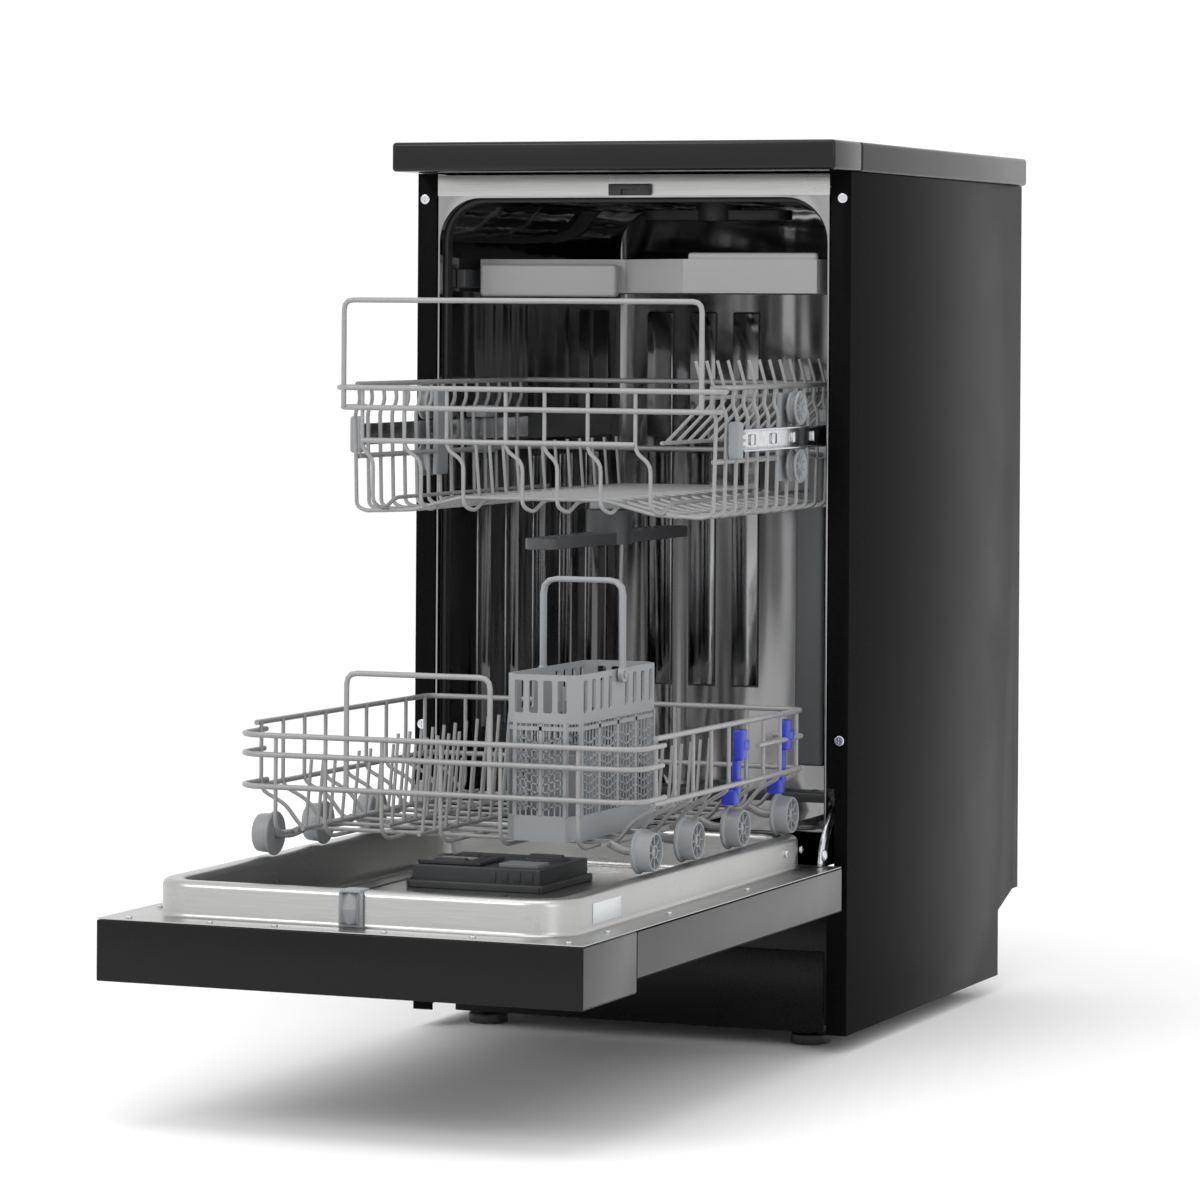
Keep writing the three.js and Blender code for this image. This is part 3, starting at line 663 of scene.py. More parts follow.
plate = settle(block("blank_rating_plate", (192 * MM, rim_front + 60 * MM, plane_z + 6 * MM),
                     (192.6 * MM, rim_front + 122 * MM, rim_z - 7.5 * MM), 0.2 * MM, 2))
hand_over(plate, "door", "grey_plastic", blank_label)

# %% [markdown]
# ## Latch nose
# The latch is a plastic wedge that the catch grips when the door closes. It starts as a cube whose front
# face is drawn to an edge, which gives the facets of a cut stone.

# %% Latch nose
nose_low, nose_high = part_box("latch_nose")
nose = block("latch_wedge", (nose_low[0] + 3 * MM, nose_low[1], nose_low[2] + 3 * MM),
             (nose_high[0] - 3 * MM, nose_high[1] - 2 * MM, nose_high[2] - 1 * MM))
middle = (nose_low[2] + nose_high[2]) / 2
pick(nose)
bpy.ops.object.mode_set(mode="EDIT")
bpy.ops.mesh.select_all(action="SELECT")
bpy.ops.mesh.subdivide(number_cuts=1)
bpy.ops.object.mode_set(mode="OBJECT")
for vertex in nose.data.vertices:
    if vertex.co.y < nose_low[1] + 1 * MM:
        far = abs(vertex.co.x) / ((nose_high[0] - nose_low[0]) / 2)
        vertex.co.y += 6 * MM * far
        vertex.co.x *= 0.75
        if abs(vertex.co.z - middle) > 5 * MM:
            vertex.co.y += 3 * MM
back_plate = block("latch_plate", (nose_low[0], nose_high[1] - 3 * MM, nose_low[2]), nose_high, 0.9 * MM, 3)
shoulder = block("latch_shoulder", (nose_low[0] + 1.5 * MM, nose_high[1] - 4 * MM, rim_z - 1.5 * MM),
                 (nose_high[0] - 1.5 * MM, nose_high[1] + 16 * MM, rim_z + 1.2 * MM), 0.8 * MM, 2)
latch = settle(joined("latch_nose_shape", nose, back_plate, shoulder), 20)
hand_over(latch, "door", "grey_plastic", grey_plastic, "latch_nose")

# %% [markdown]
# ## Dispenser
# The dispenser is a dark moulding let into the pan. Its lid slides over the powder chamber, and beside
# it are the rinse aid cap and a latch with a pale tab. Softened copies keep the real edges, and grooves
# and ribs are added as small bevelled bars.

# %% Dispenser body, lid, cap and latch
soften("dispenser_body", dark_plastic, 1.6 * MM, 3)
soften("dispenser_lid", dark_plastic, 1.2 * MM, 3)
soften("dispenser_button", grey_plastic, 0.8 * MM, 3)
soften("rinse_aid_cap", dark_plastic, 0.9 * MM, 3)
lid_low, lid_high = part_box("dispenser_lid")
lid_top = lid_high[2] - 2 * MM
ribs = [block("lid_rib", (x - 1 * MM, lid_low[1] + 34 * MM, lid_top - 1 * MM),
              (x + 1 * MM, lid_high[1] - 5 * MM,
              lid_top + 0.8 * MM), 0.4 * MM, 2) for x in spread(lid_low[0] + 12 * MM, lid_high[0] - 12 * MM,
                                                                5)]
lid_ribs = settle(joined("dispenser_lid_ribs", *ribs))
hand_over(lid_ribs, "dispenser_lid", "dark_plastic", dark_plastic)
lid_tab = settle(block("dispenser_lid_tab", (lid_low[0] + 14 * MM, lid_low[1] + 16 * MM, lid_top - 1 * MM),
                       (lid_high[0] - 14 * MM, lid_low[1] + 29 * MM, lid_top + 0.9 * MM), 0.6 * MM, 3))
hand_over(lid_tab, "dispenser_lid", "grey_plastic", tray_plastic)

body_low, body_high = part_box("dispenser_body")
trim = [block("body_rail", (body_low[0] - 3 * MM, body_low[1] - 4 * MM, pan_z),
              (body_high[0] + 3 * MM, body_low[1] + 1 * MM,
              pan_z + 7 * MM), 1.6 * MM, 3),
        block("body_rail", (body_low[0] - 4 * MM, body_low[1] - 4 * MM, pan_z),
              (body_low[0] + 1 * MM, body_high[1] + 3 * MM,
              pan_z + 9 * MM), 1.6 * MM, 3),
        block("body_rail", (body_high[0] - 1 * MM, body_low[1] - 4 * MM, pan_z),
              (body_high[0] + 4 * MM, body_high[1] + 3 * MM,
              pan_z + 7 * MM), 1.6 * MM, 3)]
for step in range(4):
    x = body_high[0] - (50 - 12 * step) * MM
    trim.append(block("body_rib", (x, body_low[1] - 1 * MM, pan_z + 9 * MM),
                      (x + 7 * MM, body_low[1] + 1 * MM,
                      body_high[2] - 3 * MM), 0.6 * MM, 2))
body_trim = settle(joined("dispenser_body_trim", *trim))
hand_over(body_trim, "door", "dark_plastic", dark_plastic)
print("door fittings done")

# %% [markdown]
# ## Hinge arms
# Each curved steel arm runs from the door into a slot in the post. It is zinc plated, and a rivet head
# shows at its foot.

# %% Hinge arms and rivets
for side, word in ((-1, "left"), (1, "right")):
    soften(f"hinge_arm_{word}", zinc, 0.5 * MM)
    arm_low, arm_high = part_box(f"hinge_arm_{word}")
    bpy.ops.mesh.primitive_uv_sphere_add(segments=24, ring_count=12, radius=5.5 * MM,
                                         location=(side * 207 * MM, arm_low[1] + 9 * MM,
                                                   arm_low[2] + 10 * MM))
    rivet = bpy.context.object
    rivet.name = f"hinge_rivet_{word}"
    rivet.scale = (0.45, 1, 1)
    hand_over(settle(rivet), "door", "zinc_steel", zinc)

# %% [markdown]
# ## Wires
# A rack is dozens of bent wires welded together. Each wire is a list of corner points: the corners are
# turned into short arcs, the points become one stretch of a curve with a round bevel, and the finished
# curve is converted to a mesh. All the wires of one rack share a curve, so they stay one piece.

# %% Bend wires round their corners


def bent(points, radius, steps=3):
    """The same path with each inner corner replaced by a short arc."""
    path = [Vector(points[0])]
    for before, corner, after in zip(points, points[1:], points[2:]):
        corner = Vector(corner)
        to_before = Vector(before) - corner
        to_after = Vector(after) - corner
        reach = min(radius, 0.45 * to_before.length, 0.45 * to_after.length)
        start = corner + to_before.normalized() * reach
        end = corner + to_after.normalized() * reach
        for step in range(steps + 1):
            share = step / steps
            path.append((1 - share) ** 2 * start + 2 * share * (1 - share) * corner + share ** 2 * end)
    path.append(Vector(points[-1]))
    return path


def wire_piece(name, wires, sides=2):
    """One mesh for a list of (points, wire radius, bend radius)."""
    made = []
    for thickness in sorted({wire[1] for wire in wires}):
        bpy.ops.curve.primitive_bezier_curve_add(location=(0, 0, 0))
        curve = bpy.context.object
        curve.data.splines.clear()
        curve.data.dimensions = "3D"
        curve.data.bevel_depth = thickness
        curve.data.bevel_resolution = sides
        curve.data.use_fill_caps = True
        for points, size, bend in wires:
            if size != thickness:
                continue
            path = bent(points, bend)
            spline = curve.data.splines.new("POLY")
            spline.points.add(len(path) - 1)
            for point, place in zip(spline.points, path):
                point.co = (*place, 1)
        pick(curve)
        bpy.ops.object.convert(target="MESH")
        made.append(bpy.context.object)
    return settle(joined(name, *made), 50)


def front_wrap(end_x, reach, y, wrap, corner, z):
    """Corner points of a wire that crosses a rack's front and turns back along both sides."""
    return [(-end_x, y + wrap, z), (-reach, y + corner, z), (-reach + corner, y, z), (reach - corner, y, z),
            (reach, y + corner, z), (end_x, y + wrap, z)]


THICK = 2.5 * MM
THIN = 1.9 * MM
TINE = 1.6 * MM

# %% [markdown]
# ## Lower rack
# The lower rack has a heavy rim, three heavy wires across its front that turn the corners, lighter
# uprights that step in under the sides, and a floor of crossed wires. Fixed tines stand along its left
# and its back right for plates.

# %% Lower rack wires
low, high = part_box("lower_rack")
side_x = high[0] - 4.2 * MM
rim_x = high[0] - 2.2 * MM
front_y = low[1] + 2.2 * MM
back_y = high[1] - 2.2 * MM
rack_rim = high[2] - 54.2 * MM
floor_z = rack_rim - 90 * MM
lower = []
for z, wrap in ((rack_rim - 5 * MM, 60), (rack_rim - 22 * MM, 56), (rack_rim - 50 * MM, 62)):
    lower.append((front_wrap(rim_x, rim_x, front_y, wrap * MM, 13 * MM, z), THICK, 11 * MM))
for side in (-1, 1):
    lower.append(([(side * rim_x, front_y + 40 * MM, rack_rim + 2 * MM),
                   (side * rim_x, back_y - 2 * MM, rack_rim),
                   (side * (rim_x - 40 * MM), back_y, rack_rim)], THICK, 12 * MM))
    lower.append(([(side * rim_x, front_y + 34 * MM, rack_rim - 54 * MM),
                   (side * rim_x, back_y, rack_rim - 54 * MM),
                   (side * (rim_x - 34 * MM), back_y, rack_rim - 54 * MM)], THICK, 12 * MM))
lower.append(([(-rim_x + 30 * MM, back_y, rack_rim), (rim_x - 30 * MM, back_y, rack_rim)], THICK, 0))
lower.append(([(-rim_x + 30 * MM, back_y, rack_rim - 54 * MM), (rim_x - 30 * MM, back_y, rack_rim - 54 * MM)],
              THICK, 0))
lower.append(([(rim_x - 1 * MM, back_y - 120 * MM, rack_rim - 24 * MM), (rim_x, back_y, rack_rim - 24 * MM),
               (rim_x - 30 * MM, back_y, rack_rim - 24 * MM)], THICK, 10 * MM))
for y in spread(front_y + 46 * MM, back_y - 14 * MM, 9):
    path = [(side_x, y, rack_rim + 2 * MM), (side_x, y, rack_rim - 58 * MM),
            (166 * MM, y + 4 * MM, floor_z + 20 * MM),
            (150 * MM, y + 4 * MM, floor_z)]
    lower.append((path + [(-x, py, z) for x, py, z in reversed(path)], THIN, 7 * MM))
for x in (-152, -104, -50, 6, 62, 134):
    lower.append(([(x * MM, front_y + 1 * MM, rack_rim - 4 * MM),
                   (x * MM, front_y + 1 * MM, floor_z + 6 * MM),
                   (x * MM, front_y + 14 * MM, floor_z - 2 * MM),
                   (x * MM, back_y - 14 * MM, floor_z - 2 * MM),
                   (x * MM, back_y, floor_z + 8 * MM), (x * MM, back_y, rack_rim + 2 * MM)], THIN, 9 * MM))
for x in (-146, 146):
    lower.append(([(x * MM, front_y + 30 * MM, floor_z), (x * MM, back_y - 14 * MM, floor_z)], THICK, 0))
handle_x = (-84 * MM, 52 * MM)
lower.append(([(handle_x[0], front_y + 1 * MM, rack_rim - 50 * MM),
               (handle_x[0], front_y + 1 * MM, high[2] - 2.2 * MM),
               (handle_x[1], front_y + 1 * MM, high[2] - 2.2 * MM),
               (handle_x[1], front_y + 1 * MM, rack_rim - 50 * MM)],
              THICK, 10 * MM))
tine_low, tine_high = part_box("folding_tines")
tine_places = spread(tine_low[1] + 8 * MM, tine_high[1] - 22 * MM, 13)
tine_pitch = tine_places[1] - tine_places[0]
between = [y - 0.17 * tine_pitch for y in [tine_places[0] - tine_pitch] + tine_places]
back_places = spread(back_y - 150 * MM, back_y - 30 * MM, 6)
for x, places, foot_y in ((-132 * MM, between, front_y + 14 * MM), (-20 * MM, between, front_y + 14 * MM),
                          (104 * MM, back_places, back_y - 160 * MM)):
    for y in places:
        lower.append(([(x, y, floor_z + 1 * MM), (x, y + 3 * MM, floor_z + 14 * MM),
                       (x, y + 12 * MM, floor_z + 62 * MM)], TINE, 8 * MM))
    lower.append(([(x, foot_y, floor_z + 3 * MM), (x, back_y - 16 * MM, floor_z + 3 * MM)], THIN, 0))
wheel_boxes = {}
for word in ("left", "right"):
    for number in range(1, 5):
        wheel_boxes[f"lower_wheel_{word}_{number}"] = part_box(f"lower_wheel_{word}_{number}")
for name, (wheel_low, wheel_high) in wheel_boxes.items():
    side = 1 if wheel_low[0] > 0 else -1
    y = (wheel_low[1] + wheel_high[1]) / 2
    z = (wheel_low[2] + wheel_high[2]) / 2
    lower.append(([(side * 146 * MM, y, floor_z), (side * 158 * MM, y, z), (side * 187 * MM, y, z)], 3.8 * MM,
                  6 * MM))
lower_rack = wire_piece("lower_rack_wires", lower)
hand_over(lower_rack, "lower_rack", "coated_wire", coated_wire, "lower_rack")
print("lower rack:", len(lower), "wires")

# %% [markdown]
# ## Folding tines
# The folding row turns on its own pivot wire. It is the same kind of wire piece, on its own body, so
# that it can lie down.

# %% Folding tine row
pivot_x = (tine_low[0] + tine_high[0]) / 2
pivot_z = tine_low[2] + 2.2 * MM
tines = [([(pivot_x, tine_low[1] + 1 * MM, pivot_z), (pivot_x, tine_high[1] - 1 * MM, pivot_z)], THIN, 0)]
for y in tine_places:
    tines.append(([(pivot_x, y, pivot_z), (pivot_x, y + 3 * MM, pivot_z + 18 * MM),
                   (pivot_x, y + 13 * MM, tine_high[2] - 14 * MM)], TINE, 8 * MM))
tine_row = wire_piece("folding_tine_wires", tines)
hand_over(tine_row, "folding_tines", "coated_wire", coated_wire, "folding_tines")

# %% [markdown]
# ## Upper rack
# The upper rack hangs lower in the middle than at its sides, and its side wires step outwards under the
# rim. A tall handle stands at its front, and short slanted tines lean out over its right rim.

# %% Upper rack wires
low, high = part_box("upper_rack")
front_y = low[1] + 2.2 * MM
back_y = high[1] - 2.2 * MM
top_z = 620 * MM
base_z = low[2] + 2.4 * MM
wide_x = 190 * MM
body_x = 174 * MM
upper = []
for z, wrap, x_reach in ((top_z - 1 * MM, 56, wide_x), (601 * MM, 40, wide_x - 4 * MM)):
    upper.append((front_wrap(body_x, x_reach, front_y, wrap * MM, 11 * MM, z), THICK, 9 * MM))
upper.append(([(-160 * MM, front_y, 571 * MM), (108 * MM, front_y, 571 * MM)], THICK, 0))
upper.append(([(-body_x, front_y + 20 * MM, top_z + 2 * MM), (-body_x, back_y, top_z + 2 * MM),
               (body_x, back_y, top_z + 2 * MM), (body_x, front_y + 20 * MM, top_z + 2 * MM)], THICK,
               14 * MM))
upper.append(([(-body_x, front_y + 24 * MM, 556 * MM), (-body_x, back_y, 556 * MM),
               (body_x, back_y, 556 * MM),
               (body_x, front_y + 24 * MM, 556 * MM)], THICK, 14 * MM))
grip_x = (-179 * MM, 171 * MM)
upper.append(([(grip_x[0], front_y + 1 * MM, 601 * MM), (grip_x[0], front_y + 1 * MM, high[2] - 2.2 * MM),
               (grip_x[1], front_y + 1 * MM, high[2] - 2.2 * MM), (grip_x[1], front_y + 1 * MM, 601 * MM)],
              THICK, 9 * MM))
FLAT = 70 * MM
for y in spread(front_y + 22 * MM, back_y - 12 * MM, 15):
    side = [(body_x, y, top_z + 3 * MM), (body_x - 2 * MM, y, top_z - 14 * MM),
            (body_x + 3 * MM, y, top_z - 24 * MM),
            (body_x + 1 * MM, y, base_z + 4 * MM), (body_x - 8 * MM, y, base_z),
            (118 * MM, y, base_z + 2 * MM),
            (FLAT, y, base_z + 14 * MM)]
    upper.append((side + [(-x, py, z) for x, py, z in reversed(side)], THIN, 6 * MM))
for x, step_in in ((-160, 10), (-118, 16), (-76, 16), (-18, 16), (20, 12), (62, 12), (108, 14)):
    upper.append(([(x * MM, front_y + 1 * MM, top_z - 2 * MM), (x * MM, front_y + 1 * MM, 564 * MM),
                   ((x + step_in) * MM, front_y + 3 * MM, 554 * MM),
                   ((x + step_in) * MM, front_y + 3 * MM, base_z + 8 * MM),
                   ((x + step_in + 6) * MM, front_y + 14 * MM, base_z + 2 * MM),
                   ((x + step_in + 6) * MM, front_y + 40 * MM, base_z + 12 * MM),
                   ((x + step_in + 6) * MM, back_y - 10 * MM, base_z + 12 * MM)], THIN, 8 * MM))
for x in (-140, 140):
    upper.append(([(x * MM, front_y + 20 * MM, base_z + 1 * MM), (x * MM, back_y - 8 * MM, base_z + 1 * MM)],
                  THIN, 0))
for y in spread(front_y + 40 * MM, back_y - 16 * MM, 14):
    upper.append(([(122 * MM, y, 572 * MM), (146 * MM, y, 596 * MM), (160 * MM, y, 612 * MM),
                   (151 * MM, y - 2 * MM, 646 * MM)], TINE, 8 * MM))
upper.append(([(122 * MM, front_y + 30 * MM, 572 * MM), (122 * MM, back_y - 10 * MM, 572 * MM)], THIN, 0))
upper.append(([(160 * MM, front_y + 30 * MM, 613 * MM), (160 * MM, back_y - 6 * MM, 613 * MM)], THIN, 0))
for y in spread(front_y + 40 * MM, back_y - 30 * MM, 12):
    upper.append(([(-60 * MM, y, base_z + 12 * MM), (-64 * MM, y, base_z + 62 * MM)], TINE, 0))
upper.append(([(-60 * MM, front_y + 30 * MM, base_z + 14 * MM),
               (-60 * MM, back_y - 20 * MM, base_z + 14 * MM)], THIN, 0))
upper_rack = wire_piece("upper_rack_wires", upper)

roller_low, roller_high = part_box("rack_roller_right_1")
roller_y = (roller_low[1] + roller_high[1]) / 2
carriers = []
for side in (-1, 1):
    carriers.append(sided("carrier", side, (171 * MM, 176 * MM), (roller_y - 13 * MM, 534 * MM),
                          (roller_y + 13 * MM, 616 * MM), 1.6 * MM, 3))
    for z in (601.8 * MM, 548.2 * MM):
        bpy.ops.mesh.primitive_cylinder_add(vertices=20, radius=3 * MM, depth=18 * MM,
                                            location=(side * 181.5 * MM, roller_y, z),
                                            rotation=(0, math.radians(90), 0))
        carriers.append(bpy.context.object)
    for z0, z1 in ((552, 563.5), (586.5, 598)):
        carriers.append(sided("shoe", side, (171 * MM, 192 * MM), (roller_y + 102 * MM, z0 * MM),
                              (roller_y + 126 * MM, z1 * MM), 1 * MM))
carriers.append(block("hub_plate", (-14 * MM, roller_y - 14 * MM, base_z - 2 * MM),
                      (14 * MM, roller_y + 14 * MM, base_z + 14 * MM), 2 * MM, 3))
carrier = settle(joined("upper_rack_carriers", *carriers))
hand_over(carrier, "upper_rack", "grey_plastic", grey_plastic)
hand_over(upper_rack, "upper_rack", "coated_wire", coated_wire, "upper_rack")
print("upper rack:", len(upper), "wires")

# %% [markdown]
# ## Wheels and rollers
# A wheel is a turned shape: a closed profile is drawn beside the axle and spun round it. The recess in
# its outer face has ribs like spokes. The doubled vertices where the spin meets itself are merged, and
# then the faces are turned outwards.

# %% Spin a profile round an axle


def turned(name, profile, centre, steps=40):
    """A ring with the profile's (across, radius) points, on an axle along X."""
    bpy.ops.mesh.primitive_circle_add(vertices=len(profile), radius=1)
    piece = bpy.context.object
    piece.name = name
    for vertex, (across, radius) in zip(piece.data.vertices, profile):
        vertex.co = (centre[0] + across, centre[1], centre[2] + radius)
    pick(piece)
    bpy.ops.object.mode_set(mode="EDIT")
    bpy.ops.mesh.select_all(action="SELECT")
    bpy.ops.mesh.spin(steps=steps, angle=math.tau, center=centre, axis=(1, 0, 0))
    bpy.ops.mesh.select_all(action="SELECT")
    bpy.ops.mesh.remove_doubles(threshold=1e-5)
    bpy.ops.mesh.normals_make_consistent(inside=False)
    bpy.ops.object.mode_set(mode="OBJECT")
    return piece


def spokes(name, centre, across, inner, outer, thickness, count):
    bars = []
    for step in range(count):
        bar = block(name, (across[0], -thickness / 2, inner), (across[1], thickness / 2, outer), 0.3 * MM, 1)
        pick(bar)
        bar.rotation_euler = (math.tau * step / count, 0, 0)
        bar.location = centre
        bpy.ops.object.transform_apply(location=True, rotation=True, scale=True)
        bars.append(bar)
    return bars


def lower_wheel(side, centre):
    def x(mm):
        return side * (mm - 8.5) * MM
    shape = ((0, 4.4), (0, 18.6), (0.9, 19.5), (2.6, 19.5), (3.4, 18.4), (4.2, 17.6), (15.4, 16.8),
             (16.6, 16.4),
             (17, 15.8), (16.8, 15.0), (16.0, 14.7), (6.0, 14.0), (6.0, 6.6), (15.6, 6.0), (16.4, 5.4),
             (16.4, 4.4))
    ring = turned("wheel", [(x(across), radius * MM) for across, radius in shape], centre)
    ribs = spokes("rib", centre, sorted((x(5.5), x(15.6))), 5.6 * MM, 14.6 * MM, 1.3 * MM, 8)
    return settle(joined("wheel", ring, *ribs), 30)


def rack_roller(side, centre):
    def x(mm):
        return side * (mm - 5) * MM
    shape = ((0, 3.4), (0, 14.6), (0.8, 15.2), (2.0, 15.0), (3.6, 12.2), (5.0, 11.4), (6.4, 12.4),
             (7.6, 15.4),
             (8.6, 16.0), (9.6, 15.7), (10, 14.8), (8.6, 13.6), (7.4, 9.5), (7.2, 5.4), (9.4, 4.8),
             (9.4, 3.4))
    ring = turned("roller", [(x(across), radius * MM) for across, radius in shape], centre)
    ribs = spokes("rib", centre, sorted((x(7.4), x(8.9))), 4.8 * MM, 13.6 * MM, 1.2 * MM, 10)
    return settle(joined("roller", ring, *ribs), 30)


# %% Copy the wheels and rollers to their axles


def centre_of(node):
    node_low, node_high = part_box(node)
    return (Vector(node_low) + Vector(node_high)) / 2


for maker, pattern in ((lower_wheel, "lower_wheel_{}_{}"), (rack_roller, "rack_roller_{}_{}")):
    for side, word in ((-1, "left"), (1, "right")):
        first_node = pattern.format(word, 1)
        first_place = centre_of(first_node)
        model = maker(side, first_place)
        names = [name for name in nodes if name.startswith(pattern.format(word, ""))]
        for name in sorted(names):
            piece = model if name == first_node else copy_of(model, name, centre_of(name) - first_place)
            piece.name = name + "_shape"
            hand_over(piece, body_of_node[name], "grey_plastic", grey_plastic, name)
print("wheels and rollers done")

# %% [markdown]
# ## Rails
# Each rail is a rolled channel with slots along its web, closed at the front by a rounded plastic stop.
# The channel is three thin strips, and the stop has little ribs behind it.

# %% Rails, stops and guides
WEB_X = 184 * MM
for side, word in ((-1, "left"), (1, "right")):
    rail_low, rail_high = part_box(f"rail_{word}")
    bar_front = rail_low[1] + 10 * MM
    z0, z1 = 565 * MM, 585 * MM
    strips = [sided("web", side, (WEB_X, WEB_X + 1.4 * MM), (bar_front, z0 + 0.5 * MM),
                    (rail_high[1], z1 - 0.5 * MM), 0.5 * MM)]
    for flange_low in (z0, z1 - 1.5 * MM):
        strips.append(sided("lip", side, (WEB_X, WEB_X + 9 * MM), (bar_front, flange_low),
                            (rail_high[1], flange_low + 1.5 * MM), 0.6 * MM))
    for step in range(6):
        y = bar_front + (30 + 56 * step) * MM
        strips.append(sided("dimple", side, (WEB_X + 1 * MM, WEB_X + 4 * MM), (y, z0 + 5 * MM),
                            (y + 12 * MM, z1 - 5 * MM), 1.2 * MM))
    rail = settle(joined(f"rail_{word}_channel", *strips))
    hand_over(rail, f"rail_{word}", "zinc_steel", zinc, f"rail_{word}")
    cap = sided("stop", side, (180 * MM, 193 * MM), (rail_low[1], rail_low[2]),
                (rail_low[1] + 8 * MM, rail_high[2]), 3.2 * MM, 4)
    teeth = [sided("tooth", side, (185 * MM, 192 * MM), (rail_low[1] + 7 * MM, z),
                   (rail_low[1] + 15 * MM, z + 2.4 * MM), 0.5 * MM) for z in (568 * MM, 574 * MM, 580 * MM)]
    stop = settle(joined(f"rail_{word}_stop", cap, *teeth))
    hand_over(stop, f"rail_{word}", "grey_plastic", grey_plastic)
    soften(f"rail_bracket_{word}", dark_plastic, 0.8 * MM)
    soften(f"tray_guide_{word}", dark_plastic, 1.2 * MM)

# %% [markdown]
# ## Cutlery tray
# The tray is a shallow moulding with a slanted front on its right and a rolled grip on its left. Rows of
# small teeth on its ribs keep the cutlery apart.

# %% Tray and its teeth
soften("cutlery_tray", tray_plastic, 1.4 * MM, 3)
tray_low, tray_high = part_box("cutlery_tray")
teeth = []
for y in (190 * MM + tub_front, 290 * MM + tub_front):
    for x in spread(tray_low[0] + 14 * MM, tray_high[0] - 14 * MM, 24):
        teeth.append(block("tooth", (x - 1.2 * MM, y - 1.6 * MM, tray_low[2] + 10 * MM),
                           (x + 1.2 * MM, y + 1.6 * MM, tray_low[2] + 21 * MM), 0.6 * MM, 1))
grip = block("grip", (tray_low[0] + 6 * MM, tray_low[1] + 42 * MM, tray_low[2] - 4 * MM),
             (tray_low[0] + 148 * MM, tray_low[1] + 53 * MM, tray_high[2] - 5 * MM), 3.4 * MM, 4)
raised_rim = block("raised_rim", (tray_low[0] + 238 * MM, tray_low[1] + 1 * MM, tray_high[2] - 3 * MM),
                   (tray_high[0] - 1 * MM, tray_low[1] + 9 * MM, tray_high[2] + 6 * MM), 2.6 * MM, 3)
tray_trim = settle(joined("cutlery_tray_trim", grip, raised_rim, *teeth))
hand_over(tray_trim, "cutlery_tray", "grey_plastic", tray_plastic)
print("tray done")

# %% [markdown]
# ## Cutlery basket
# The basket is an open lattice. Its foot and its slotted top band are solid, posts stand at its corners
# and between its windows, and thin bars fill the windows: uprights, and slanted ones that meet in the
# middle of each window. All of them are bars of few faces, because there are so many.

# %% Basket lattice
low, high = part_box("cutlery_basket")
x0, x1 = 62 * MM, 130 * MM
y0, y1 = low[1], high[1]
z0, z1 = low[2], high[2]
WALL_T = 2.2 * MM
CHAMFER = 10 * MM
FOOT_TOP = z0 + 22 * MM
BAND_LOW = z1 - 42 * MM


def tube(name, bottom, top):
    """The four walls and chamfered corners between two heights."""
    corners = [(x0 + CHAMFER, y0), (x1 - CHAMFER, y0), (x1, y0 + CHAMFER), (x1, y1 - CHAMFER),
               (x1 - CHAMFER, y1),
               (x0 + CHAMFER, y1), (x0, y1 - CHAMFER), (x0, y0 + CHAMFER)]
    rings_ = [[Vector((x, y, z)) for x, y in corners] for z in (bottom, top)]
    piece = drawn_sheet(name, rings_, capped=False)
    pick(piece)
    bpy.ops.object.mode_set(mode="EDIT")
    bpy.ops.mesh.select_all(action="SELECT")
    bpy.ops.mesh.normals_make_consistent(inside=False)
    bpy.ops.object.mode_set(mode="OBJECT")
    shell = piece.modifiers.new("wall", "SOLIDIFY")
    shell.thickness = WALL_T
    shell.offset = -1
    bpy.ops.object.modifier_apply(modifier="wall")
    return piece


def bar(start, end, size):
    """A square bar between two points."""
    start, end = Vector(start), Vector(end)
    bpy.ops.mesh.primitive_cube_add(size=1, location=(0, 0, 0))
    piece = bpy.context.object
    piece.scale = (size, size, (end - start).length)
    piece.rotation_mode = "QUATERNION"
    piece.rotation_quaternion = Vector((0, 0, 1)).rotation_difference(end - start)
    piece.location = (start + end) / 2
    return piece


band = tube("band", BAND_LOW, z1)
slots = []
SLOT = (8.5 * MM, 28 * MM)
slot_low = z1 - 33 * MM
for x in spread(x0 + 14 * MM, x1 - 14 * MM, 4):
    slots.append(block("slot", (x - SLOT[0] / 2, y0 - 5 * MM, slot_low), (x + SLOT[0] / 2, y1 + 5 * MM,
                 slot_low + SLOT[1]), 2 * MM, 3))
for y in spread(y0 + 19 * MM, y1 - 19 * MM, 9):
    if abs(y - (y0 + y1) / 2) > 9 * MM:
        slots.append(block("slot", (x0 - 5 * MM, y - SLOT[0] / 2, slot_low), (x1 + 5 * MM, y + SLOT[0] / 2,
                     slot_low + SLOT[1]), 2 * MM, 3))
for number, slot_cutter in enumerate(slots):
    pick(band)
    cut = band.modifiers.new("slot", "BOOLEAN")
    cut.operation = "DIFFERENCE"
    cut.object = slot_cutter
    bpy.ops.object.modifier_apply(modifier="slot")
    bpy.data.objects.remove(slot_cutter)

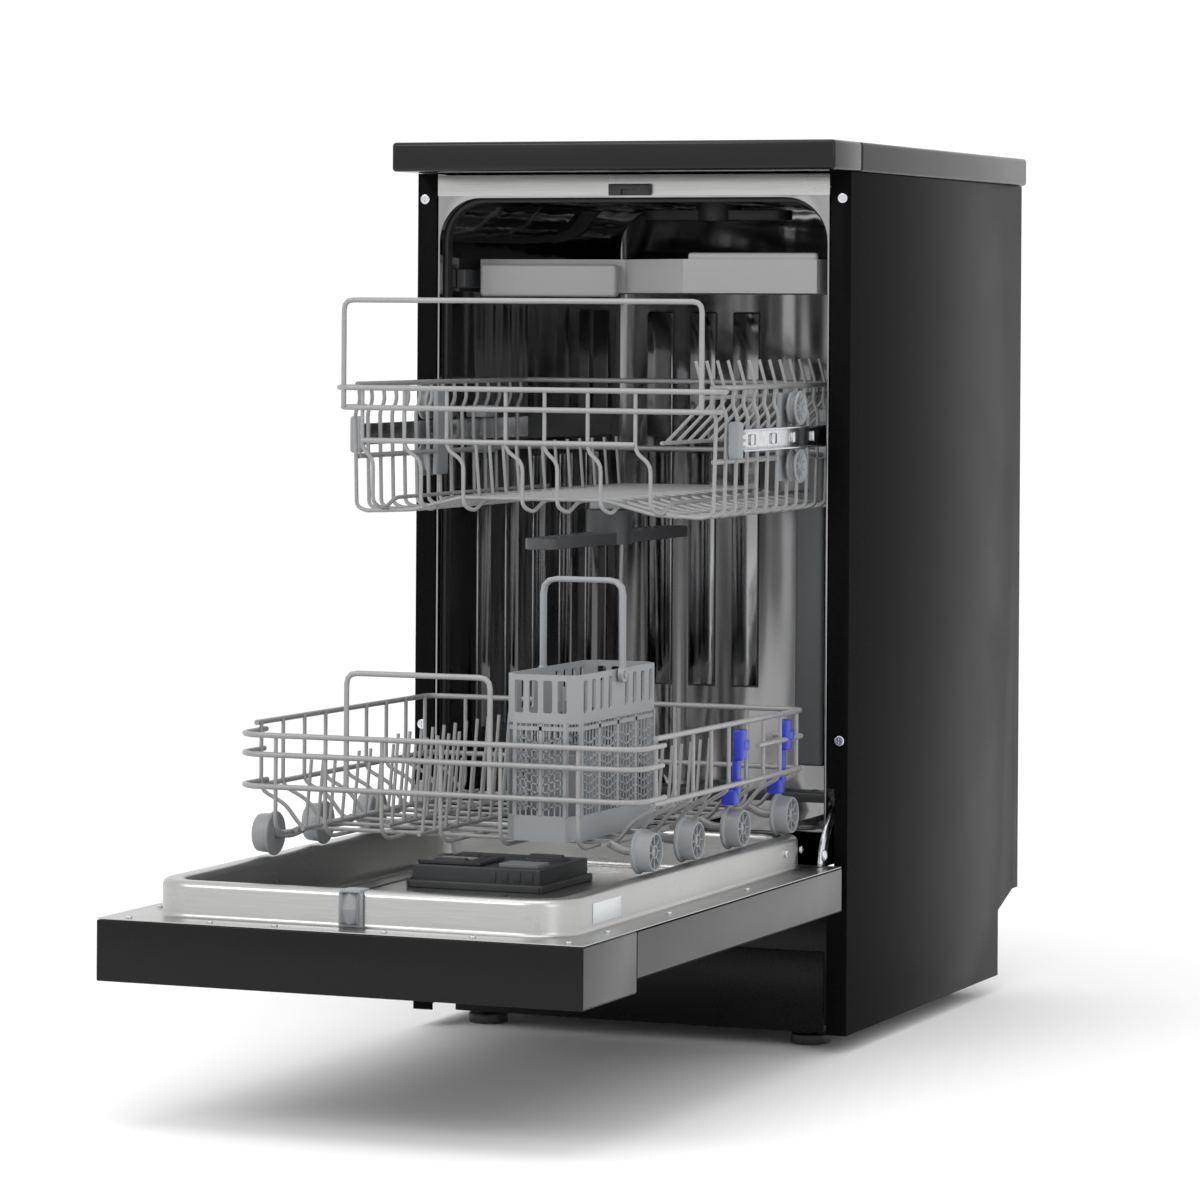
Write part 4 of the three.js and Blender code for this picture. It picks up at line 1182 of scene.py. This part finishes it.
foot = tube("foot", z0, FOOT_TOP)
sole = block("sole", (x0 + 3 * MM, y0 + 3 * MM, z0), (x1 - 3 * MM, y1 - 3 * MM, z0 + 2 * MM), 0.5 * MM, 1)
bead_ring = tube("bead_ring", BAND_LOW - 6 * MM, BAND_LOW - 2.5 * MM)
bars = []
posts_y = spread(y0 + CHAMFER, y1 - CHAMFER, 5)
for x in (x0 + WALL_T / 2, x1 - WALL_T / 2):
    for index, y in enumerate(posts_y):
        width = 3.4 * MM if index in (0, 4) else 5.2 * MM
        bars.append(block("post", (x - WALL_T / 2, y - width / 2, FOOT_TOP - 1 * MM),
                          (x + WALL_T / 2, y + width / 2, BAND_LOW + 1 * MM), 0.5 * MM, 1))
    for left, right in zip(posts_y, posts_y[1:]):
        for y in spread(left, right, 7)[1:-1]:
            bars.append(bar((x, y, FOOT_TOP), (x, y, BAND_LOW), 1.2 * MM))
        for z in spread(FOOT_TOP + 4 * MM, BAND_LOW - 18 * MM, 9):
            centre = (left + right) / 2
            bars.append(bar((x, left, z + 6 * MM), (x, centre, z), 1.2 * MM))
            bars.append(bar((x, centre, z), (x, right, z + 6 * MM), 1.2 * MM))
for y in (y0 + WALL_T / 2, y1 - WALL_T / 2):
    for x in (x0 + CHAMFER, (x0 + x1) / 2, x1 - CHAMFER):
        bars.append(block("post", (x - 1.8 * MM, y - WALL_T / 2, FOOT_TOP - 1 * MM),
                          (x + 1.8 * MM, y + WALL_T / 2, BAND_LOW + 1 * MM), 0.5 * MM, 1))
    for x in spread(x0 + CHAMFER, x1 - CHAMFER, 10)[1:-1]:
        bars.append(bar((x, y, FOOT_TOP), (x, y, BAND_LOW), 1.2 * MM))
    for z in spread(FOOT_TOP + 4 * MM, BAND_LOW - 18 * MM, 9):
        centre = (x0 + x1) / 2
        bars.append(bar((x0 + CHAMFER, y, z + 8 * MM), (centre, y, z), 1.2 * MM))
        bars.append(bar((centre, y, z), (x1 - CHAMFER, y, z + 8 * MM), 1.2 * MM))
for x, y in ((x0, y0), (x1, y0), (x0, y1), (x1, y1)):
    inward_x = 1 if x == x0 else -1
    inward_y = 1 if y == y0 else -1
    for share in (0.0, 1.0):
        px = x + inward_x * CHAMFER * (1 - share) + inward_x * 0.8 * MM
        py = y + inward_y * CHAMFER * share + inward_y * 0.8 * MM
        bars.append(bar((px, py, FOOT_TOP - 1 * MM), (px, py, BAND_LOW + 1 * MM), 3.2 * MM))
dividers = [bar(((x0 + x1) / 2, y, z0 + 2 * MM), ((x0 + x1) / 2, y, z1 - 14 * MM),
                2 * MM) for y in posts_y[1:-1]]
for y in posts_y[1:-1]:
    dividers.append(block("divider", (x0 + 1 * MM, y - 0.8 * MM, z0 + 2 * MM), (x1 - 1 * MM, y + 0.8 * MM,
                    z0 + 70 * MM), 0.3 * MM, 1))
for wall_x in (x0, x1):
    outward = -1 if wall_x == x0 else 1
    bpy.ops.mesh.primitive_cylinder_add(vertices=16, radius=3 * MM, depth=8 * MM,
                                        rotation=(0, math.radians(90), 0),
                                        location=(wall_x + outward * 3 * MM, (y0 + y1) / 2, z1 - 5 * MM))
    dividers.append(bpy.context.object)
basket = settle(joined("cutlery_basket_lattice", band, foot, sole, bead_ring, *bars, *dividers), 30)
hand_over(basket, "cutlery_basket", "grey_plastic", grey_plastic, "cutlery_basket")

handle_low, handle_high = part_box("cutlery_basket_handle")
middle_y = (handle_low[1] + handle_high[1]) / 2
left_x = handle_low[0] + 2.5 * MM
right_x = handle_high[0] - 2.5 * MM
handle_wires = []
for offset in (-1.8 * MM, 1.8 * MM):
    handle_wires.append(([(left_x, middle_y + offset, z1 - 8 * MM),
                          (left_x, middle_y + offset, handle_high[2] - 2.4 * MM),
                          (right_x, middle_y + offset, handle_high[2] - 2.4 * MM),
                          (right_x, middle_y + offset, z1 - 8 * MM)], 2.4 * MM, 13 * MM))
bail = wire_piece("cutlery_basket_bail", handle_wires, 3)
eyes = []
for x in (left_x, right_x):
    eyes.append(turned("eye", [(-2.4 * MM, 3.4 * MM), (-2.4 * MM, 6.4 * MM), (-1.8 * MM, 7 * MM),
                               (1.8 * MM, 7 * MM),
                               (2.4 * MM, 6.4 * MM), (2.4 * MM, 3.4 * MM)], (x, middle_y, z1 - 5 * MM), 24))
bail = settle(joined("cutlery_basket_bail", bail, *eyes))
hand_over(bail, "cutlery_basket_handle", "grey_plastic", grey_plastic, "cutlery_basket_handle")
print("basket:", len(bars), "bars")

# %% [markdown]
# ## Blue clips
# Two blue clips are snapped on the right side of the lower rack and hold a hinged cup rest. Each is a
# split sleeve on an upright with a hooked finger below.

# %% Blue clips on the lower rack
for number, y in enumerate((-196 * MM + tub_front, -78 * MM + tub_front), 1):
    sleeve = block("sleeve", (182.5 * MM, y - 7 * MM, 288 * MM), (192 * MM, y + 7 * MM, 316 * MM), 2.2 * MM,
                   3)
    waist = block("waist", (181 * MM, y - 4 * MM, 297 * MM), (193 * MM, y + 11 * MM, 306 * MM), 2 * MM, 3)
    finger = block("finger", (181 * MM, y - 4.5 * MM, 256 * MM), (187 * MM, y + 4.5 * MM, 292 * MM), 1.8 * MM,
                   3)
    hook = block("hook", (172 * MM, y - 9 * MM, 248 * MM), (186 * MM, y + 4 * MM, 262 * MM), 2.4 * MM, 3)
    clip = settle(joined(f"blue_clip_{number}", sleeve, waist, finger, hook))
    hand_over(clip, "lower_rack", "blue_plastic", blue_plastic)

# %% [markdown]
# ## Spray arms
# The arms are hollow mouldings with a row of jets on top. The plain arms are softened, and jets are set
# on as small domes.

# %% Spray arms and jets
ARM_TOPS = {"lower_spray_arm": 219 * MM, "rack_spray_arm": 483 * MM, "ceiling_spray_arm": 791 * MM}
for name in ARM_TOPS:
    soften(name, dark_plastic, 2.0 * MM, 3)
    arm_low, arm_high = (Vector(corner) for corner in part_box(name))
    middle = (arm_low + arm_high) / 2
    span = arm_high - arm_low
    along, over = (0, 1) if span.x > span.y else (1, 0)
    reach = span[along] / 2 - 16 * MM
    jets = []
    for share in (-0.95, -0.75, -0.55, 0.5, 0.7, 0.9):
        spot = middle.copy()
        spot[along] += reach * share
        spot[over] += 5 * MM * share
        spot.z = ARM_TOPS[name]
        bpy.ops.mesh.primitive_torus_add(major_radius=3 * MM, minor_radius=1.1 * MM, major_segments=18,
                                         minor_segments=8, location=spot)
        jets.append(bpy.context.object)
    jets = settle(joined(name + "_jets", *jets))
    hand_over(jets, body_of_node[name], "dark_plastic", dark_plastic)
